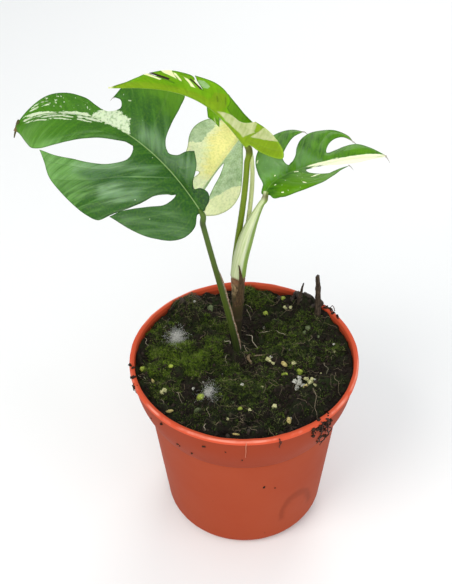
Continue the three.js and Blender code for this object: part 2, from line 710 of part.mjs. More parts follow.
// The two younger petioles rise out of the stem's top, inside the sheath.
const petioleBRoute = route(
  [[-5.1, 16.4, 147.6], [-4.8, 16.6, 162], [0.4, 19, 186], [1.3, 20, 210.5]],
  [[1.5, 20.1, 213], [3.4, 20.3, 215.6], [1.44, 20.03, 219.03]],
);
const petioleCRoute = route(
  [[-2.2, 16.9, 147.6], [-1, 16.9, 163], [4.3, 18.6, 186], [3.9, 25.5, 203]],
  [[3.8, 28, 210], [1, 32.7, 220.3], [1.22, 37.7, 220.09]],
);

function petioleGeometry(path, radius) {
  return stalk(path, 20, 9, (angle, t) => radius * (1 - 0.18 * t));
}

// A dead twig and a splinter of bark stand in the soil at the back.
const twigRoute = rooted([[40.4, 33.6, SOIL_LEVEL + 8], [40.6, 34, 112], [40.2, 35.4, 120], [39.6, 37, 129]]);
const splinterRoute = rooted([[30, 38.5, SOIL_LEVEL + 8], [30.4, 38.6, 110], [31, 39, 115], [32.5, 40, 121]]);

function woodGeometry({ path }, sides, radius, tipRadius) {
  return stalk(path, 10, sides, (angle, t) => THREE.MathUtils.lerp(radius, tipRadius, t));
}

const potted = new THREE.Group();

function add(name, geometry, colour, roughness) {
  const mesh = new THREE.Mesh(geometry, material(colour, roughness));
  mesh.name = name;
  potted.add(mesh);
}

const holes = [
  holeCutter(stemRoute, STEM_RADIUS),
  holeCutter(petioleARoute, PETIOLE_A_RADIUS + 0.75),
  holeCutter(twigRoute, TWIG_RADIUS),
  holeCutter(splinterRoute, SPLINTER_RADIUS),
];

add("pot", potGeometry(), colours.pot, 0.55);
add("soil", soilGeometry(holes), colours.soil, 0.95);
add("stem", stemGeometry(), colours.stem, 0.8);
add("petiole_a", petioleAGeometry(), colours.oldPetiole, 0.5);
add("petiole_b", petioleGeometry(petioleBRoute, PETIOLE_B_RADIUS), colours.newPetiole, 0.45);
add("petiole_c", petioleGeometry(petioleCRoute, PETIOLE_C_RADIUS), colours.palePetiole, 0.45);
add("petiole_d", petioleDGeometry(), colours.palePetiole, 0.5);
add("leaf_a", bladeGeometry(leafA), colours.oldBlade, 0.4);
add("leaf_b", bladeGeometry(leafB), colours.newBlade, 0.4);
add("leaf_c", bladeGeometry(leafC), colours.creamBlade, 0.5);
add("leaf_d", bladeGeometry(leafD), colours.youngBlade, 0.4);
add("twig", woodGeometry(twigRoute, 8, TWIG_RADIUS, TWIG_TIP_RADIUS), colours.wood, 0.9);
add("bark_splinter", woodGeometry(splinterRoute, 6, SPLINTER_RADIUS, SPLINTER_TIP_RADIUS), colours.wood, 0.9);

export default potted;
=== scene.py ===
"""A potted variegated mini monstera: split leaves on slender stalks, mossy soil, a terracotta-coloured pot.

Millimetres in the settings and functions, metres in the finished meshes. The front of the plant faces -Y.
"""

import math

import bpy
import numpy as np
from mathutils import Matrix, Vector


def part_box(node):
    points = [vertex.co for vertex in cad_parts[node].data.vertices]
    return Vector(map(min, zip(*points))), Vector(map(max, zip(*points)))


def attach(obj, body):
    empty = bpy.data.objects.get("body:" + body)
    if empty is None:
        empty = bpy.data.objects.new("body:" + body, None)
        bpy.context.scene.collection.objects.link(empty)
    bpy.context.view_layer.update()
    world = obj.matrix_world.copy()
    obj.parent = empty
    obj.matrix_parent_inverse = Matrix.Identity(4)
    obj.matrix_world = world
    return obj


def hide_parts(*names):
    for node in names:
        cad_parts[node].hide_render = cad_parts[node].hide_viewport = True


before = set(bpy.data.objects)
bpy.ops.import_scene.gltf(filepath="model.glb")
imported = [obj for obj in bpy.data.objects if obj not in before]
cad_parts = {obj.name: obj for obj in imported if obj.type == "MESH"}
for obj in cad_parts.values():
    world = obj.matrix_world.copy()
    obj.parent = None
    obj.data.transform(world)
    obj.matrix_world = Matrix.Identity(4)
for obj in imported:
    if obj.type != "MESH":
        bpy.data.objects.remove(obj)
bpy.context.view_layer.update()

bl_info = {
    "name": "Potted variegated mini monstera",
    "version": (1, 0, 0),
    "blender": (4, 5, 0),
    "location": "View3D > Sidebar > Monstera",
    "description": "Builds the plant's leaves, stalks, pot, soil, moss and litter around the solid model",
    "category": "Add Mesh",
}

MM = 0.001
PHOTO_HEIGHT = 584

# A direction that no strand or needle follows, to turn their sections from
ASIDE = (0.31, 0.42, 0.85)

# Numbers of the lattice noise: the steps between neighbours, between seeds, and the scrambling
LATTICE_STEPS = (1.0, 57.0, 113.0)
SEED_STEP = 31.7
SCRAMBLE_TURN = 12.9898
SCRAMBLE_SCALE = 43758.5453


def top_of(node):
    """Height of a node's highest point, in millimetres."""
    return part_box(node)[1].z / MM


def reach_of(node):
    """A node's largest X, in millimetres."""
    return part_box(node)[1].x / MM


POT_HEIGHT = top_of("pot")
RIM_RADIUS = reach_of("pot")


# Settings

LONGEST = 1000.0


def length(name, description, default, low=0.0):
    """A length in millimetres that the user may change."""
    return bpy.props.FloatProperty(name=name, description=description, default=default, min=low, max=LONGEST)


def colour(name, description, default):
    """A linear colour that the user may change."""
    return bpy.props.FloatVectorProperty(
        name=name, description=description, default=default, size=3, min=0.0, max=1.0, subtype="COLOR"
    )


class PotSettings(bpy.types.PropertyGroup):
    """Sizes and colours of the nursery pot."""

    base_radius: length("Base radius", "Radius of the wall where it meets the base, mm", 44.0)
    base_rounding: length("Base rounding", "Radius of the curve between wall and base, mm", 7.0)
    wall: length("Wall", "Thickness of the wall, mm", 1.4)
    floor: length("Floor", "Thickness of the base, mm", 2.0)
    lip_height: length("Lip height", "Height of the band round the rim, mm", 2.6)
    lip_overhang: length("Lip overhang", "How far the band stands out, mm", 1.2)
    collar_height: length("Collar height", "From the rim down to the ledge, mm", 28.5)
    collar_foot: length("Collar foot radius", "Radius at the ledge, mm", 52.2)
    collar_bulge: length("Collar bulge", "How far the collar swells between ledge and lip, mm", 1.5)
    ledge: length("Ledge", "How far the ledge steps in, mm", 1.0)
    drain_radius: length("Drain hole radius", "Radius of each drain hole, mm", 3.2)
    drain_circle: length("Drain circle", "Radius of the circle of drain holes, mm", 29.0)
    plastic: colour("Plastic", "Colour of the pot", (0.3, 0.043, 0.013))
    plastic_edge: colour("Lip", "Colour of the lip, where light comes through", (0.62, 0.085, 0.035))
    dirt: colour("Dirt", "Colour of the specks on the pot", (0.035, 0.02, 0.012))


class SoilSettings(bpy.types.PropertyGroup):
    """Sizes and colours of the soil and of what lies on it."""

    level: length("Level", "Height of the soil above the base, mm", 98.3)
    edge_rise: length("Edge rise", "How much higher the soil is at the wall, mm", 3.0)
    crumb: length("Crumb height", "Height of the fine crumbs, mm", 1.2)
    peat: colour("Peat", "Colour of the dry soil", (0.022, 0.015, 0.01))
    damp: colour("Damp soil", "Colour of the damp soil in the hollows", (0.006, 0.004, 0.003))
    algae: colour("Green film", "Colour of the green film on the soil", (0.014, 0.024, 0.005))


class MossSettings(bpy.types.PropertyGroup):
    """Numbers and colours of the moss."""

    shoots: bpy.props.IntProperty(name="Shoots", description="Tufts in each piece", default=1850, min=0)
    shoot: length("Shoot length", "Length of a moss shoot, mm", 3.3)
    fresh: colour("Fresh moss", "Colour of fresh tips", (0.15, 0.25, 0.01))
    # Old moss also gives the painted shade at the foot of each needle
    old: colour("Old moss", "Colour of the moss below", (0.005, 0.01, 0.002))


class BladeSettings(bpy.types.PropertyGroup):
    """Sizes and colours of the leaf blades."""

    spacing: length("Spacing", "Distance between the points of a blade's mesh, mm", 1.0, low=0.4)
    thickness: length("Thickness", "Thickness of the blade away from its margin, mm", 0.5)
    margin: length("Margin thickness", "Thickness of the blade at its margin, mm", 0.16)
    rib: length("Rib", "Height of the midrib below the blade, mm", 1.1)
    dark: colour("Dark green", "Colour of the oldest blade", (0.024, 0.088, 0.014))
    mid: colour("Mid green", "Colour of a blade a year old", (0.055, 0.19, 0.007))
    fresh: colour("Fresh green", "Colour of the newest blade", (0.14, 0.33, 0.002))
    olive: colour("Olive", "Colour of the newest blade's underside", (0.19, 0.3, 0.008))
    grey: colour("Grey green", "Colour of an old blade's underside", (0.3, 0.42, 0.21))
    cream: colour("Cream", "Colour of the markings", (0.83, 0.85, 0.58))


class StalkSettings(bpy.types.PropertyGroup):
    """Sizes and colours of the stem and the leaf stalks."""

    steps: bpy.props.IntProperty(name="Steps", description="Rings along a stalk", default=150, min=8)
    sides: bpy.props.IntProperty(name="Sides", description="Sides round a stalk", default=36, min=6)
    old_green: colour("Old stalk", "Colour of the oldest stalk", (0.052, 0.076, 0.01))
    young_green: colour("Young stalk", "Colour of the newest stalk", (0.14, 0.21, 0.008))
    pale: colour("Pale stalk", "Colour of the sheath", (0.6, 0.64, 0.4))
    bark: colour("Stem skin", "Colour of the dry brown stem", (0.055, 0.028, 0.013))


class StageSettings(bpy.types.PropertyGroup):
    """The camera and the light."""

    camera_back: length("Camera distance", "How far in front of the pot's axis the camera is, mm", 339.0)
    camera_height: length("Camera height", "Height of the camera, mm", 435.0)
    pitch: bpy.props.FloatProperty(
        name="Pitch", description="How far it looks down", default=math.radians(40.2), subtype="ANGLE"
    )
    focal_pixels: bpy.props.FloatProperty(
        name="Focal length", description="Focal length in pixels of the picture", default=900.0
    )
    centre_shift: bpy.props.FloatProperty(
        name="Centre shift", description="How far right the view's centre is, px", default=18.2
    )


SETTINGS = {
    "monstera_pot": PotSettings,
    "monstera_soil": SoilSettings,
    "monstera_moss": MossSettings,
    "monstera_blade": BladeSettings,
    "monstera_stalk": StalkSettings,
    "monstera_stage": StageSettings,
}


# Shapes: numbers and curves

def smoothstep(value, low, high):
    """0 below low, 1 above high, and 3s^2 - 2s^3 between them."""
    share = np.clip((value - low) / (high - low), 0.0, 1.0)
    return share * share * (3 - 2 * share)


def bell(value, centre, width):
    """A bell: e to the power of minus the square of the distance over the width."""
    return np.exp(-(((value - centre) / width) ** 2))


def unit(vectors):
    """Vectors divided by their own length."""
    return vectors / np.maximum(np.linalg.norm(vectors, axis=-1, keepdims=True), 1e-12)


def lumps(points, size, seed):
    """Smooth lumps from -1 to 1: a random value on each corner of a lattice of that size, blended over
    each cell by 3s^2 - 2s^3 along every axis."""
    scaled = np.asarray(points, float) / size
    cell = np.floor(scaled)
    part = scaled - cell
    part = part * part * (3 - 2 * part)
    steps = np.array(LATTICE_STEPS)[: scaled.shape[-1]]
    total = np.zeros(scaled.shape[:-1])
    for corner in np.ndindex(*(2,) * scaled.shape[-1]):
        corner = np.array(corner)
        weight = np.prod(np.where(corner, part, 1 - part), axis=-1)
        key = ((cell + corner) * steps).sum(-1) + SEED_STEP * seed
        value = np.mod(np.abs(np.sin(key * SCRAMBLE_TURN)) * SCRAMBLE_SCALE, 1.0)
        total += weight * (2 * value - 1)
    return total


def polar(radius, angle):
    """Flat places from their distance to the origin and their angle."""
    return np.stack([radius * np.cos(angle), radius * np.sin(angle)], -1)


def bezier(points, t):
    """A cubic Bezier's points: the four control points weighted by the Bernstein polynomials of t."""
    t = np.asarray(t, float)[:, None]
    a, b, c, d = np.asarray(points, float)
    return (1 - t) ** 3 * a + 3 * (1 - t) ** 2 * t * b + 3 * (1 - t) * t * t * c + t**3 * d


def catmull(points, t):
    """A centripetal Catmull-Rom curve through the points. Between two points it is a cubic whose end slopes
    come from the neighbours, with knots spaced by the square root of the distance between points."""
    points = np.asarray(points, float)
    ends = np.vstack([2 * points[0] - points[1], points, 2 * points[-1] - points[-2]])
    at = np.clip(t, 0, 1) * (len(points) - 1)
    k = np.minimum(at.astype(int), len(points) - 2)
    w = (at - k)[:, None]
    p0, p1, p2, p3 = (ends[k + i] for i in range(4))
    pairs = ((p0, p1), (p1, p2), (p2, p3))
    d0, d1, d2 = (np.sqrt(np.linalg.norm(b - a, axis=1, keepdims=True)) for a, b in pairs)
    m1 = ((p1 - p0) / d0 - (p2 - p0) / (d0 + d1) + (p2 - p1) / d1) * d1
    m2 = ((p2 - p1) / d1 - (p3 - p1) / (d1 + d2) + (p3 - p2) / d2) * d1
    return p1 + m1 * w + (3 * (p2 - p1) - 2 * m1 - m2) * w**2 + (2 * (p1 - p2) + m1 + m2) * w**3


class Line:
    """A curve held as many close points, read by its share of the whole length."""

    def __init__(self, points):
        keep = np.r_[True, np.linalg.norm(np.diff(points, axis=0), axis=1) > 1e-9]
        self.points = points[keep]
        steps = np.linalg.norm(np.diff(self.points, axis=0), axis=1)
        self.lengths = np.r_[0, np.cumsum(steps)]
        self.length = self.lengths[-1]

    def at(self, share):
        """The points at the given shares of the length."""
        goal = np.asarray(share, float) * self.length
        return np.stack([np.interp(goal, self.lengths, axis) for axis in self.points.T], -1)

    def tangent(self, share):
        """The directions at the given shares of the length."""
        step = 0.004
        share = np.asarray(share, float)
        return unit(self.at(np.clip(share + step, 0, 1)) - self.at(np.clip(share - step, 0, 1)))


def route(first, *others):
    """Cubic Beziers one after the other; each list after the first starts where the last one ended."""
    t = np.linspace(0, 1, 200)
    start = first[0]
    parts = []
    for points in [first[1:], *others]:
        parts.append(bezier([start, *points], t))
        start = points[2]
    return Line(np.concatenate(parts))


HOLE_DEPTH = 12.0


def rooted(first, *others):
    """A route that starts with a straight foot in the soil."""
    start, second = np.array(first[0]), np.array(first[1])
    foot = start - HOLE_DEPTH * unit(second - start)
    return Line(np.vstack([np.linspace(foot, start, 20), route(first, *others).points]))


# Shapes: meshes

def build_mesh(name, points, quads=None, triangles=None, attributes=None, smooth=True):
    """An object of one mesh from whole arrays: points in millimetres, faces by point number, and named
    vectors for each point. A quad with a doubled corner becomes a triangle."""
    faces = []
    if quads is not None and len(quads):
        quads = np.asarray(quads)
        doubled = quads == np.roll(quads, -1, axis=1)
        faces.append(quads[~doubled.any(axis=1)])
        for side in range(4):
            bent = quads[doubled[:, side] & (doubled.sum(axis=1) == 1)]
            faces.append(np.delete(bent, side, axis=1))
    if triangles is not None and len(triangles):
        faces.append(np.asarray(triangles))
    corners = np.concatenate([face.ravel() for face in faces])
    sizes = np.concatenate([np.full(len(face), face.shape[1]) for face in faces])
    mesh = bpy.data.meshes.new(name)
    mesh.vertices.add(len(points))
    mesh.vertices.foreach_set("co", (np.asarray(points) * MM).astype(np.float32).ravel())
    mesh.loops.add(len(corners))
    mesh.loops.foreach_set("vertex_index", corners.astype(np.int32))
    mesh.polygons.add(len(sizes))
    mesh.polygons.foreach_set("loop_start", (np.cumsum(sizes) - sizes).astype(np.int32))
    mesh.polygons.foreach_set("use_smooth", np.full(len(sizes), smooth))
    mesh.update(calc_edges=True)
    for key, vectors in (attributes or {}).items():
        attribute = mesh.attributes.new(key, "FLOAT_VECTOR", "POINT")
        attribute.data.foreach_set("vector", np.asarray(vectors, np.float32).ravel())
    mesh.validate()
    piece = bpy.data.objects.new(name, mesh)
    bpy.context.scene.collection.objects.link(piece)
    return piece


def settle(piece, material, slot, *replaced):
    """Gives a piece its material, puts it on the pot's body and hides the nodes that it stands for.
    The slot is not used.
    """
    piece.data.materials.clear()
    piece.data.materials.append(material)
    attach(piece, "root")
    if replaced:
        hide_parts(*replaced)
    return piece


def grid_quads(rows, columns, wrap=False):
    """Quads of a grid of points, row after row; wrap joins the last column to the first."""
    i = np.arange(rows - 1)[:, None]
    j = np.arange(columns if wrap else columns - 1)[None, :]
    after = (j + 1) % columns
    row, row_above = i * columns, (i + 1) * columns
    return np.stack([row + j, row + after, row_above + after, row_above + j], -1)


def fan_ends(first, sides, count=1, stride=0):
    """Triangles that close a ring of points: (0, k, k + 1), for count rings stride points apart."""
    k = np.arange(1, sides - 1)
    fan = np.stack([np.zeros_like(k), k, k + 1], -1)
    return (first + stride * np.arange(count)[:, None, None] + fan[None]).reshape(-1, 3)


def tube_faces(rings, sides, count=1):
    """Quads and end triangles of closed tubes, whose points come ring after ring and tube after tube."""
    stride = rings * sides
    quads = grid_quads(rings, sides, wrap=True).reshape(1, -1, 4) + stride * np.arange(count)[:, None, None]
    low = fan_ends(0, sides, count, stride)[:, ::-1]
    high = fan_ends((rings - 1) * sides, sides, count, stride)
    return quads.reshape(-1, 4), np.vstack([low, high])


def point_fan(point, first, sides):
    """Triangles from one point to a closed ring: (point, next, this) for each of the ring's points."""
    k = np.arange(sides)
    return np.stack([np.full(sides, point), first + (k + 1) % sides, first + k], -1)


def grey(tone):
    """One number as all three parts of a vector."""
    return np.stack([tone, tone, tone], -1)


def frames_along(line, steps):
    """Places and section axes along a line: the section's own X stays as near as it can to +X."""
    share = np.linspace(0, 1, steps + 1)
    tangent = line.tangent(share)
    y = unit(np.cross(tangent, [1.0, 0.0, 0.0]))
    return share, line.at(share), np.cross(y, tangent), y


def stalk(line, steps, sides, section):
    """Rings round a line: each point is its ring's centre plus the section's radius at its angle, along the
    ring's own X and Y. Returns points, quads, end triangles, angles and shares of the length."""
    share, centre, x, y = frames_along(line, steps)
    angle = np.linspace(0, 2 * np.pi, sides, endpoint=False)
    share, angle = np.meshgrid(share, angle, indexing="ij")
    radius = section(angle, share)[..., None]
    turned_x = x[:, None] * np.cos(angle)[..., None]
    points = centre[:, None] + radius * (turned_x + y[:, None] * np.sin(angle)[..., None])
    return points.reshape(-1, 3), *tube_faces(steps + 1, sides), angle.ravel(), share.ravel()


def strands(lines, radii, sides):
    """Many closed strands at once: lines is (strands, rings, 3) and radii (strands, rings) or (strands,
    rings, sides). Each ring stands square to its line. Returns points, quads and end triangles."""
    count, rings = lines.shape[:2]
    if radii.ndim == 2:
        radii = radii[..., None]
    tangent = unit(np.gradient(lines, axis=1))
    aside = unit(np.cross(lines[:, -1] - lines[:, 0], ASIDE))[:, None]
    y = unit(np.cross(tangent, aside))
    x = np.cross(y, tangent)
    angle = np.linspace(0, 2 * np.pi, sides, endpoint=False)
    turned = x[:, :, None] * np.cos(angle)[:, None] + y[:, :, None] * np.sin(angle)[:, None]
    points = lines[:, :, None] + turned * radii[..., None]
    return points.reshape(-1, 3), *tube_faces(rings, sides, count)


def pebbles(centres, sizes, draw, stretch, rings, sides, roughness):
    """Small closed lumps: strands whose radius follows a half circle along a short random axis, each point
    pushed in or out by a random share."""
    count = len(centres)
    axis = unit(draw.normal(size=(count, 3)))
    blunt = 0.93
    t = np.linspace(-blunt, blunt, rings)
    long = sizes * stretch * draw.uniform(0.75, 1.25, count)
    lines = centres[:, None] + axis[:, None] * (long[:, None] * t)[..., None]
    lines += draw.normal(size=(count, rings, 3)) * (0.08 * sizes)[:, None, None]
    profile = np.sqrt(1 - t * t)
    uneven = draw.uniform(1 - roughness, 1 + roughness, (count, rings, sides))
    radii = sizes[:, None, None] * profile[:, None] * uneven
    return strands(lines, radii, sides)


# Materials

class Wire:
    """A socket in a material's node tree, wrapped so that shader maths reads as an expression."""

    def __init__(self, paint, socket):
        self.paint = paint
        self.socket = socket

    def math(self, operation, *values, clamp=False):
        """A maths node of those values."""
        settings = {"operation": operation, "use_clamp": clamp}
        return self.paint.node("ShaderNodeMath", settings, dict(enumerate(values)))

    def __add__(self, other):
        return self.math("ADD", self, other)

    def __sub__(self, other):
        return self.math("SUBTRACT", self, other)

    def __mul__(self, other):
        return self.math("MULTIPLY", self, other)

    def __truediv__(self, other):
        return self.math("DIVIDE", self, other)

    def __rsub__(self, other):
        return self.math("SUBTRACT", other, self)

    __radd__ = __add__
    __rmul__ = __mul__

    def abs(self):
        return self.math("ABSOLUTE", self)

    def low(self, other):
        """The smaller of the two."""
        return self.math("MINIMUM", self, other)

    def high(self, other):
        """The larger of the two."""
        return self.math("MAXIMUM", self, other)

    def clamped(self):
        """The value kept within 0 and 1."""
        return self.math("ADD", self, 0.0, clamp=True)

    def step(self, low, high):
        """0 below low, 1 above high, smooth between; the other way round where low is above high."""
        settings = {"interpolation_type": "SMOOTHSTEP"}
        if low < high:
            return self.paint.node("ShaderNodeMapRange", settings, {0: self, 1: low, 2: high})
        return 1.0 - self.paint.node("ShaderNodeMapRange", settings, {0: self, 1: high, 2: low})

    def near(self, centre, width):
        """1 at the centre, falling smoothly to 0 at the width."""
        return (self - centre).abs().step(width, 0.0)


class Paint:
    """One material and its nodes."""

    def __init__(self, name):
        self.material = bpy.data.materials.new(name)
        self.material.use_nodes = True
        self.tree = self.material.node_tree
        self.tree.nodes.clear()
        self.point = self.node("ShaderNodeTexCoord", output="Object")

    def node(self, kind, settings=None, inputs=None, output=0):
        """Adds a node of that kind: its settings first, then the values or links of its sockets."""
        made = self.tree.nodes.new(kind)
        for key, value in (settings or {}).items():
            setattr(made, key, value)
        for key, value in (inputs or {}).items():
            if isinstance(value, Wire):
                self.tree.links.new(value.socket, made.inputs[key])
            else:
                made.inputs[key].default_value = value
        return Wire(self, made.outputs[output]) if output is not None else None

    def split(self, vector):
        """The three parts of a vector."""
        made = self.node("ShaderNodeSeparateXYZ", inputs={0: vector}).socket.node
        return [Wire(self, made.outputs[axis]) for axis in range(3)]

    def millimetres(self):
        """The three parts of the object's own coordinates, in mm."""
        return [part * (1 / MM) for part in self.split(self.point)]

    def joined(self, x, y, z):
        """A vector of three parts."""
        return self.node("ShaderNodeCombineXYZ", inputs={0: x, 1: y, 2: z})

    def attribute(self, name):
        """A vector that each point of the mesh carries."""
        return self.node("ShaderNodeAttribute", {"attribute_name": name}, output="Vector")

    def noise(self, size, at=None, detail=2.0, roughness=0.5):
        """Soft noise about 0, from about -0.5 to 0.5, with features of that size."""
        unit_size = MM if at is None else 1.0
        inputs = {
            "Vector": at or self.point,
            "Scale": 1 / (size * unit_size),
            "Detail": detail,
            "Roughness": roughness,
        }
        return self.node("ShaderNodeTexNoise", inputs=inputs) - 0.5

    def cells(self, size, at=None):
        """Distance to the nearest of scattered points that are about size apart, as a share of it."""
        unit_size = MM if at is None else 1.0
        inputs = {"Vector": at or self.point, "Scale": 1 / (size * unit_size)}
        return self.node("ShaderNodeTexVoronoi", inputs=inputs)

    def mix(self, share, a, b):
        """Colour a where share is 0 and colour b where it is 1."""
        inputs = {0: share, 6: opaque(a), 7: opaque(b)}
        return self.node("ShaderNodeMix", {"data_type": "RGBA"}, inputs, output=2)

    def coats(self, base, *coats):
        """A colour under coats of others, each given by its share and its colour, the first one lowest."""
        for share, coat in coats:
            base = self.mix(share, base, coat)
        return base

    def tinted(self, base, tint, share):
        """A colour multiplied by another one, by that share."""
        inputs = {0: share, 6: opaque(base), 7: opaque(tint)}
        return self.node("ShaderNodeMix", {"data_type": "RGBA", "blend_type": "MULTIPLY"}, inputs, output=2)

    def finish(self, base, roughness, height=None, bump_mm=0.2, bump_strength=1.0, shine=0.5, glow=0.0,
               glow_radius=(0.5, 0.8, 0.3), glow_mm=1.0):
        """The surface: a Principled shader with the given base colour and roughness, bumped by a height
        between 0 and 1. Shine is its specular level, and glow the share of light that goes in, as far as
        the radius for red, green and blue times glow_mm."""
        inputs = {
            "Base Color": opaque(base),
            "Roughness": roughness,
            "Specular IOR Level": shine,
            "Subsurface Weight": glow,
            "Subsurface Radius": glow_radius,
            "Subsurface Scale": glow_mm * MM,
        }
        if height is not None:
            bump = {"Strength": bump_strength, "Distance": bump_mm * MM, "Height": height}
            inputs["Normal"] = self.node("ShaderNodeBump", inputs=bump)
        shader = self.node("ShaderNodeBsdfPrincipled", inputs=inputs)
        self.node("ShaderNodeOutputMaterial", {"is_active_output": True}, {"Surface": shader}, output=None)
        return self.material


def opaque(value):
    """A colour of three parts with its fourth, alpha 1; a link is left as it is."""
    return value if isinstance(value, Wire) else (*value, 1.0)


def shade(colour_value, factor):
    """A colour made lighter or darker by a factor, kept within 0 and 1."""
    return tuple(min(max(part * factor, 0.0), 1.0) for part in colour_value)


# The pot

def arc(centre, radius, start, end, steps):
    """Points of a circle's arc: centre plus the radius at evenly spaced angles, in degrees."""
    angle = np.radians(np.linspace(start, end, steps))
    return np.stack([centre[0] + radius * np.cos(angle), centre[1] + radius * np.sin(angle)], -1)


class PotProfile:
    """The pot's measured outline, from its settings."""

    def __init__(self, pot):
        self.pot = pot
        self.ledge = POT_HEIGHT - pot.collar_height
        self.lip = POT_HEIGHT - pot.lip_height
        self.collar_top = RIM_RADIUS - pot.lip_overhang
        self.body_top = pot.collar_foot - pot.ledge

    def collar_radius(self, z):
        """Outer radius of the collar: a straight line from foot to lip plus a half sine of swelling."""
        share = np.clip((np.asarray(z, float) - self.ledge) / (self.lip - self.ledge), 0, 1)
        line = self.pot.collar_foot + (self.collar_top - self.pot.collar_foot) * share
        return line + self.pot.collar_bulge * np.sin(np.pi * share)


def pot_outline(profile):
    """Radius and height of every ring, from the middle of the base round the outside, over the lip and down
    inside to the floor's middle."""
    pot = profile.pot
    slope = (profile.body_top - pot.base_radius) / profile.ledge
    rounding = pot.base_rounding
    foot_centre = (pot.base_radius - rounding + slope * rounding, rounding)
    foot = arc(foot_centre, rounding, -90, 0, 12)
    body_z = np.linspace(rounding + 2, profile.ledge - 1.6, 22)
    body_radius = np.interp(body_z, [rounding, profile.ledge - 1], [foot[-1, 0], profile.body_top])
    body = np.stack([body_radius, body_z], -1)
    ledge_radius, ledge_z = profile.body_top, profile.ledge
    ledge = np.array([
        [ledge_radius, ledge_z - 0.9],
        [ledge_radius + 0.12, ledge_z - 0.6],
        [ledge_radius + 0.5, ledge_z - 0.32],
        [ledge_radius + 0.88, ledge_z - 0.12],
        [ledge_radius + 1.0, ledge_z + 0.25],
    ])
    collar_z = np.linspace(profile.ledge + 0.8, profile.lip - 0.5, 20)
    collar = np.stack([profile.collar_radius(collar_z), collar_z], -1)
    top = profile.collar_top
    under = np.array([[top + 0.05, profile.lip - 0.12], [top + 0.3, profile.lip]])
    outer = arc((RIM_RADIUS - 0.7, profile.lip + 0.7), 0.7, -60, 0, 5)
    crest = arc((RIM_RADIUS - 0.75, POT_HEIGHT - 0.75), 0.75, 0, 90, 6)
    brow = arc((top - pot.wall + 0.6, POT_HEIGHT - 0.6), 0.6, 90, 180, 6)
    inner_z = np.linspace(profile.lip - 1, profile.ledge + 1, 14)
    inner = np.stack([profile.collar_radius(inner_z) - pot.wall, inner_z], -1)
    low = arc((pot.base_radius - pot.wall - 4, pot.floor + 4), 4, 0, -90, 6)
    base = np.linspace([6, 0], [foot[0, 0] - 3, 0], 8)
    floor = np.linspace([30, pot.floor], [6, pot.floor], 6)
    outside = [[[0, 0]], base, foot, body, ledge, collar, under, outer, crest]
    inside = [brow, inner, low, floor, [[0, pot.floor]]]
    return np.concatenate([np.asarray(part, float) for part in outside + inside])


def make_pot(pot, sides=240):
    """The pot: the outline turned round Z. The lip is a little wavy and its edge slightly burred: radius and
    height there gain smooth noise of the angle. The drain holes are cut by a Boolean."""
    outline = pot_outline(PotProfile(pot))
    angle = np.linspace(0, 2 * np.pi, sides, endpoint=False)
    radius, height = outline[1:-1, 0][:, None], outline[1:-1, 1][:, None]
    circle = polar(1.0, angle)
    near_lip = smoothstep(height, POT_HEIGHT - 3.2, POT_HEIGHT - 1.4)
    waves = lumps(circle * 3.0, 1.0, 3)[None] * 0.12 + lumps(circle * 16.0, 1.0, 4)[None] * 0.07
    radius = radius - near_lip * np.abs(waves)
    height = height - near_lip * (np.abs(lumps(circle * 5.0, 1.0, 5))[None] * 0.3)
    rings = np.stack([radius * np.cos(angle), radius * np.sin(angle), height + 0 * angle], -1)
    points = np.vstack([[0, 0, 0], rings.reshape(-1, 3), [0, 0, outline[-1, 1]]])
    count = len(outline) - 2
    quads = grid_quads(count, sides, wrap=True).reshape(-1, 4) + 1
    last = len(points) - 1
    ends = np.vstack([point_fan(0, 1, sides), point_fan(last, last - sides, sides)[:, [0, 2, 1]]])
    piece = build_mesh("pot_shell", points, quads, ends)
    cut_drain_holes(piece, pot)
    return piece


def cut_drain_holes(piece, pot, holes=8, sides=32):
    """Cuts round holes through the base, evenly spaced on a circle, by an applied Boolean."""
    turn = 2 * np.pi * (np.arange(holes) + 0.5) / holes
    around = np.linspace(0, 2 * np.pi, sides, endpoint=False)
    flat = polar(pot.drain_circle, turn)[:, None] + polar(pot.drain_radius, around)
    reach = 2 * pot.floor
    layers = [np.concatenate([flat, np.full((holes, sides, 1), z)], -1) for z in (-reach, reach)]
    points = np.stack(layers, 1).reshape(-1, 3)
    cutter = build_mesh("drain_cutter", points, *tube_faces(len(layers), sides, holes))
    boolean = piece.modifiers.new("drain holes", "BOOLEAN")
    boolean.operation = "DIFFERENCE"
    boolean.object = cutter
    boolean.solver = "EXACT"
    cut = bpy.data.meshes.new_from_object(piece.evaluated_get(bpy.context.evaluated_depsgraph_get()))
    piece.modifiers.clear()
    piece.data = cut
    bpy.data.objects.remove(cutter)


# The soil

# Heaps of soil: x, y, height and radius in mm
HEAPS = np.array([
    [33, 40, 8.5, 11], [-31, 42, 6.5, 10], [-20, 20, 3.2, 13], [-34, -6, 2.6, 12], [6, -20, 3, 13],
    [26, 4, 3.4, 14], [-10, -40, 2.2, 11], [37, -24, 2.8, 10], [-3, 15, 2.4, 9],
])

